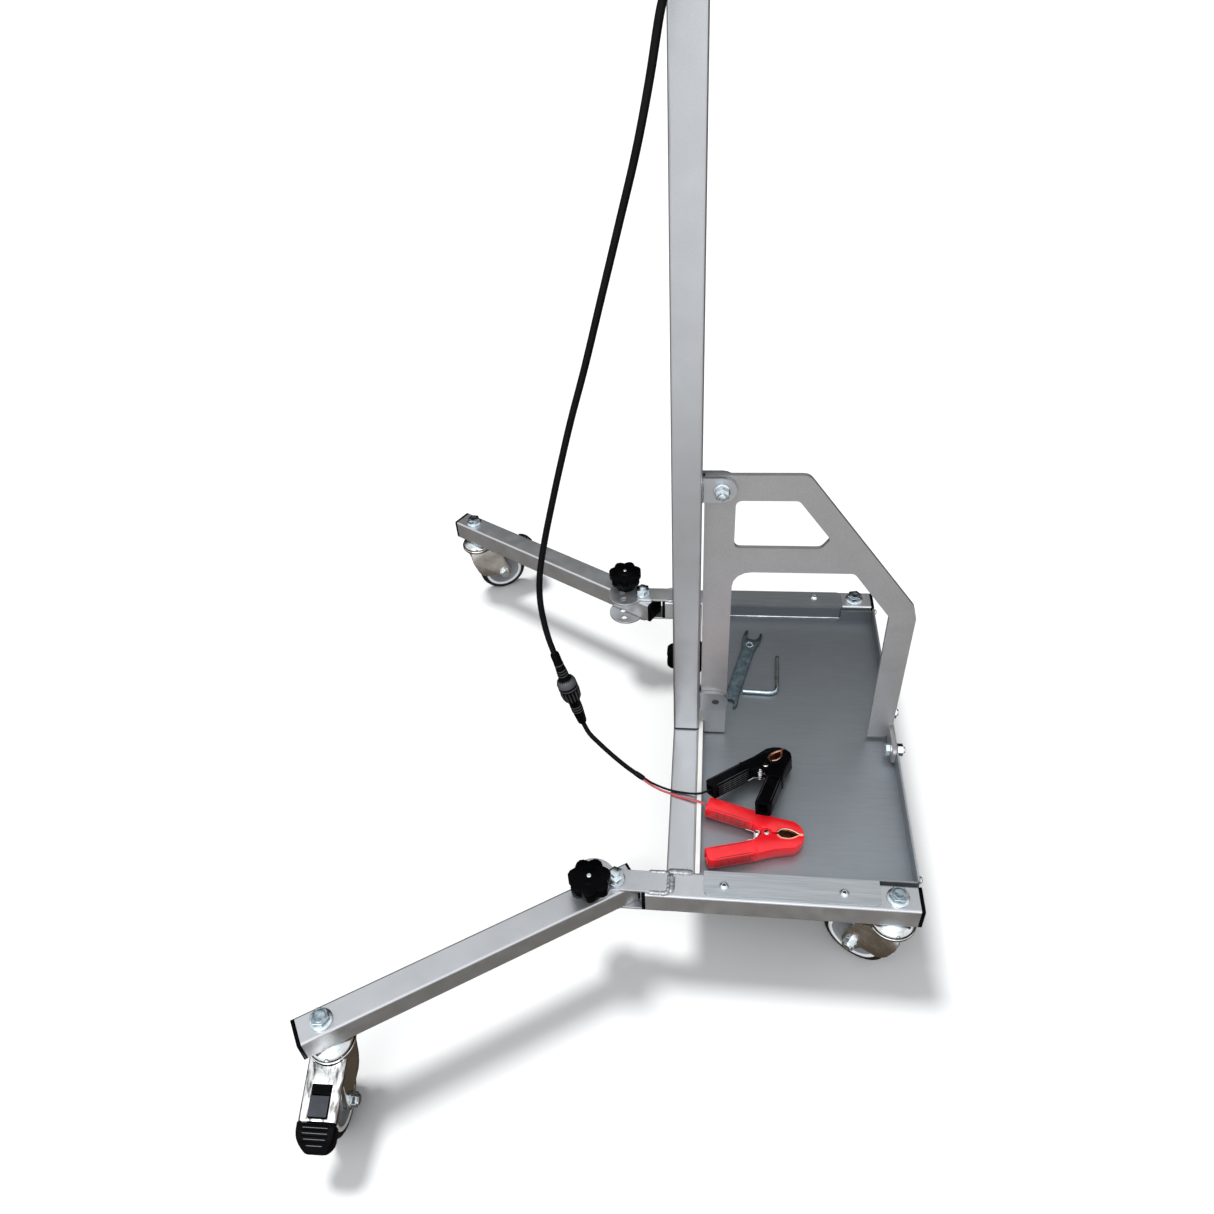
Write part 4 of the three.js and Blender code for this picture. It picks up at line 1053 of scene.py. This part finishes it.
def studio():
    """World that lights the object by direction, with a plain white backdrop for the camera."""
    world = bpy.data.worlds.new("studio")
    bpy.context.scene.world = world
    world.use_nodes = True
    where = add_node(world, "ShaderNodeTexCoord").outputs["Generated"]
    lean = add_node(world, "ShaderNodeVectorMath", operation="DOT_PRODUCT")
    lean.inputs[1].default_value = Vector(TOWARD_LIGHT).normalized()
    wire(world, where, lean.inputs[0])
    ramp = add_node(world, "ShaderNodeValToRGB")
    while len(ramp.color_ramp.elements) < len(SKY):
        ramp.color_ramp.elements.new(0.5)
    for element, (level, colour) in zip(ramp.color_ramp.elements, SKY):
        element.position = (level + 1) / 2
        element.color = (*colour, 1)
    wire(world, remap(world, lean.outputs["Value"], -1, 1), ramp.inputs["Fac"])
    split = add_node(world, "ShaderNodeSeparateXYZ")
    wire(world, where, split.inputs[0])
    behind = remap(world, split.outputs["Y"], *BEHIND, 1.0, BEHIND_LEVEL)
    light = mixed(world, "MULTIPLY", 1.0, ramp.outputs["Color"], behind)
    seen = add_node(world, "ShaderNodeLightPath").outputs["Is Camera Ray"]
    shown = mixed(world, "MIX", seen, light, BACKDROP)
    wire(world, shown, world.node_tree.nodes["Background"].inputs["Color"])


def floor():
    """Wide pale floor that the object neither reflects nor gets light from."""
    mesh = bpy.data.meshes.new("floor")
    corners = [(x * FLOOR_REACH, y * FLOOR_REACH, 0) for x, y in ((-1, -1), (1, -1), (1, 1), (-1, 1))]
    mesh.from_pydata(corners, [], [(0, 1, 2, 3)])
    mat = material("floor_white", (0.47, 0.47, 0.47), 0.9, Specular_IOR_Level=0.0)
    tint(mat, pattern(mat, 3), (0.46, 0.46, 0.46), (0.48, 0.48, 0.48))
    obj = bpy.data.objects.new("floor", mesh)
    bpy.context.scene.collection.objects.link(obj)
    mesh.materials.append(mat)
    obj.visible_diffuse = False
    obj.visible_glossy = False
    obj.visible_shadow = False
    return obj


TALL_NODES = ("mast", "brace_plate", "brace_bolt", "lead_upper", "mast_knob")
OVERHEAD_TOWARD, OVERHEAD_STRENGTH, OVERHEAD_ANGLE = (-0.2, -0.55, 0.8), 0.7, 34
SHADOW_TOWARD, SHADOW_STRENGTH, SHADOW_ANGLE = (-0.28, 0.22, 1), 4.3, 13


def sun(name, direction, strength, angle):
    """A sun toward a direction, angle in degrees for the softness of its shadows."""
    data = bpy.data.lights.new(name, "SUN")
    data.energy = strength
    data.angle = math.radians(angle)
    obj = bpy.data.objects.new(name, data)
    bpy.context.scene.collection.objects.link(obj)
    obj.rotation_mode = "QUATERNION"
    obj.rotation_quaternion = Vector(direction).to_track_quat("Z", "Y")
    return obj


def shadow_light(ground):
    """Light that falls on the floor alone and passes the tall pieces: the soft shadow of the low frame."""
    light = sun("shadow_light", SHADOW_TOWARD, SHADOW_STRENGTH, SHADOW_ANGLE)
    lit = bpy.data.collections.new("lit_floor")
    lit.objects.link(ground)
    light.light_linking.receiver_collection = lit
    casters = bpy.data.collections.new("low_frame")
    for name, node in nodes.items():
        if name not in TALL_NODES:
            casters.objects.link(node)
    light.light_linking.blocker_collection = casters


studio()
sun("overhead", OVERHEAD_TOWARD, OVERHEAD_STRENGTH, OVERHEAD_ANGLE)
shadow_light(floor())
bpy.context.scene.view_settings.view_transform = "Standard"
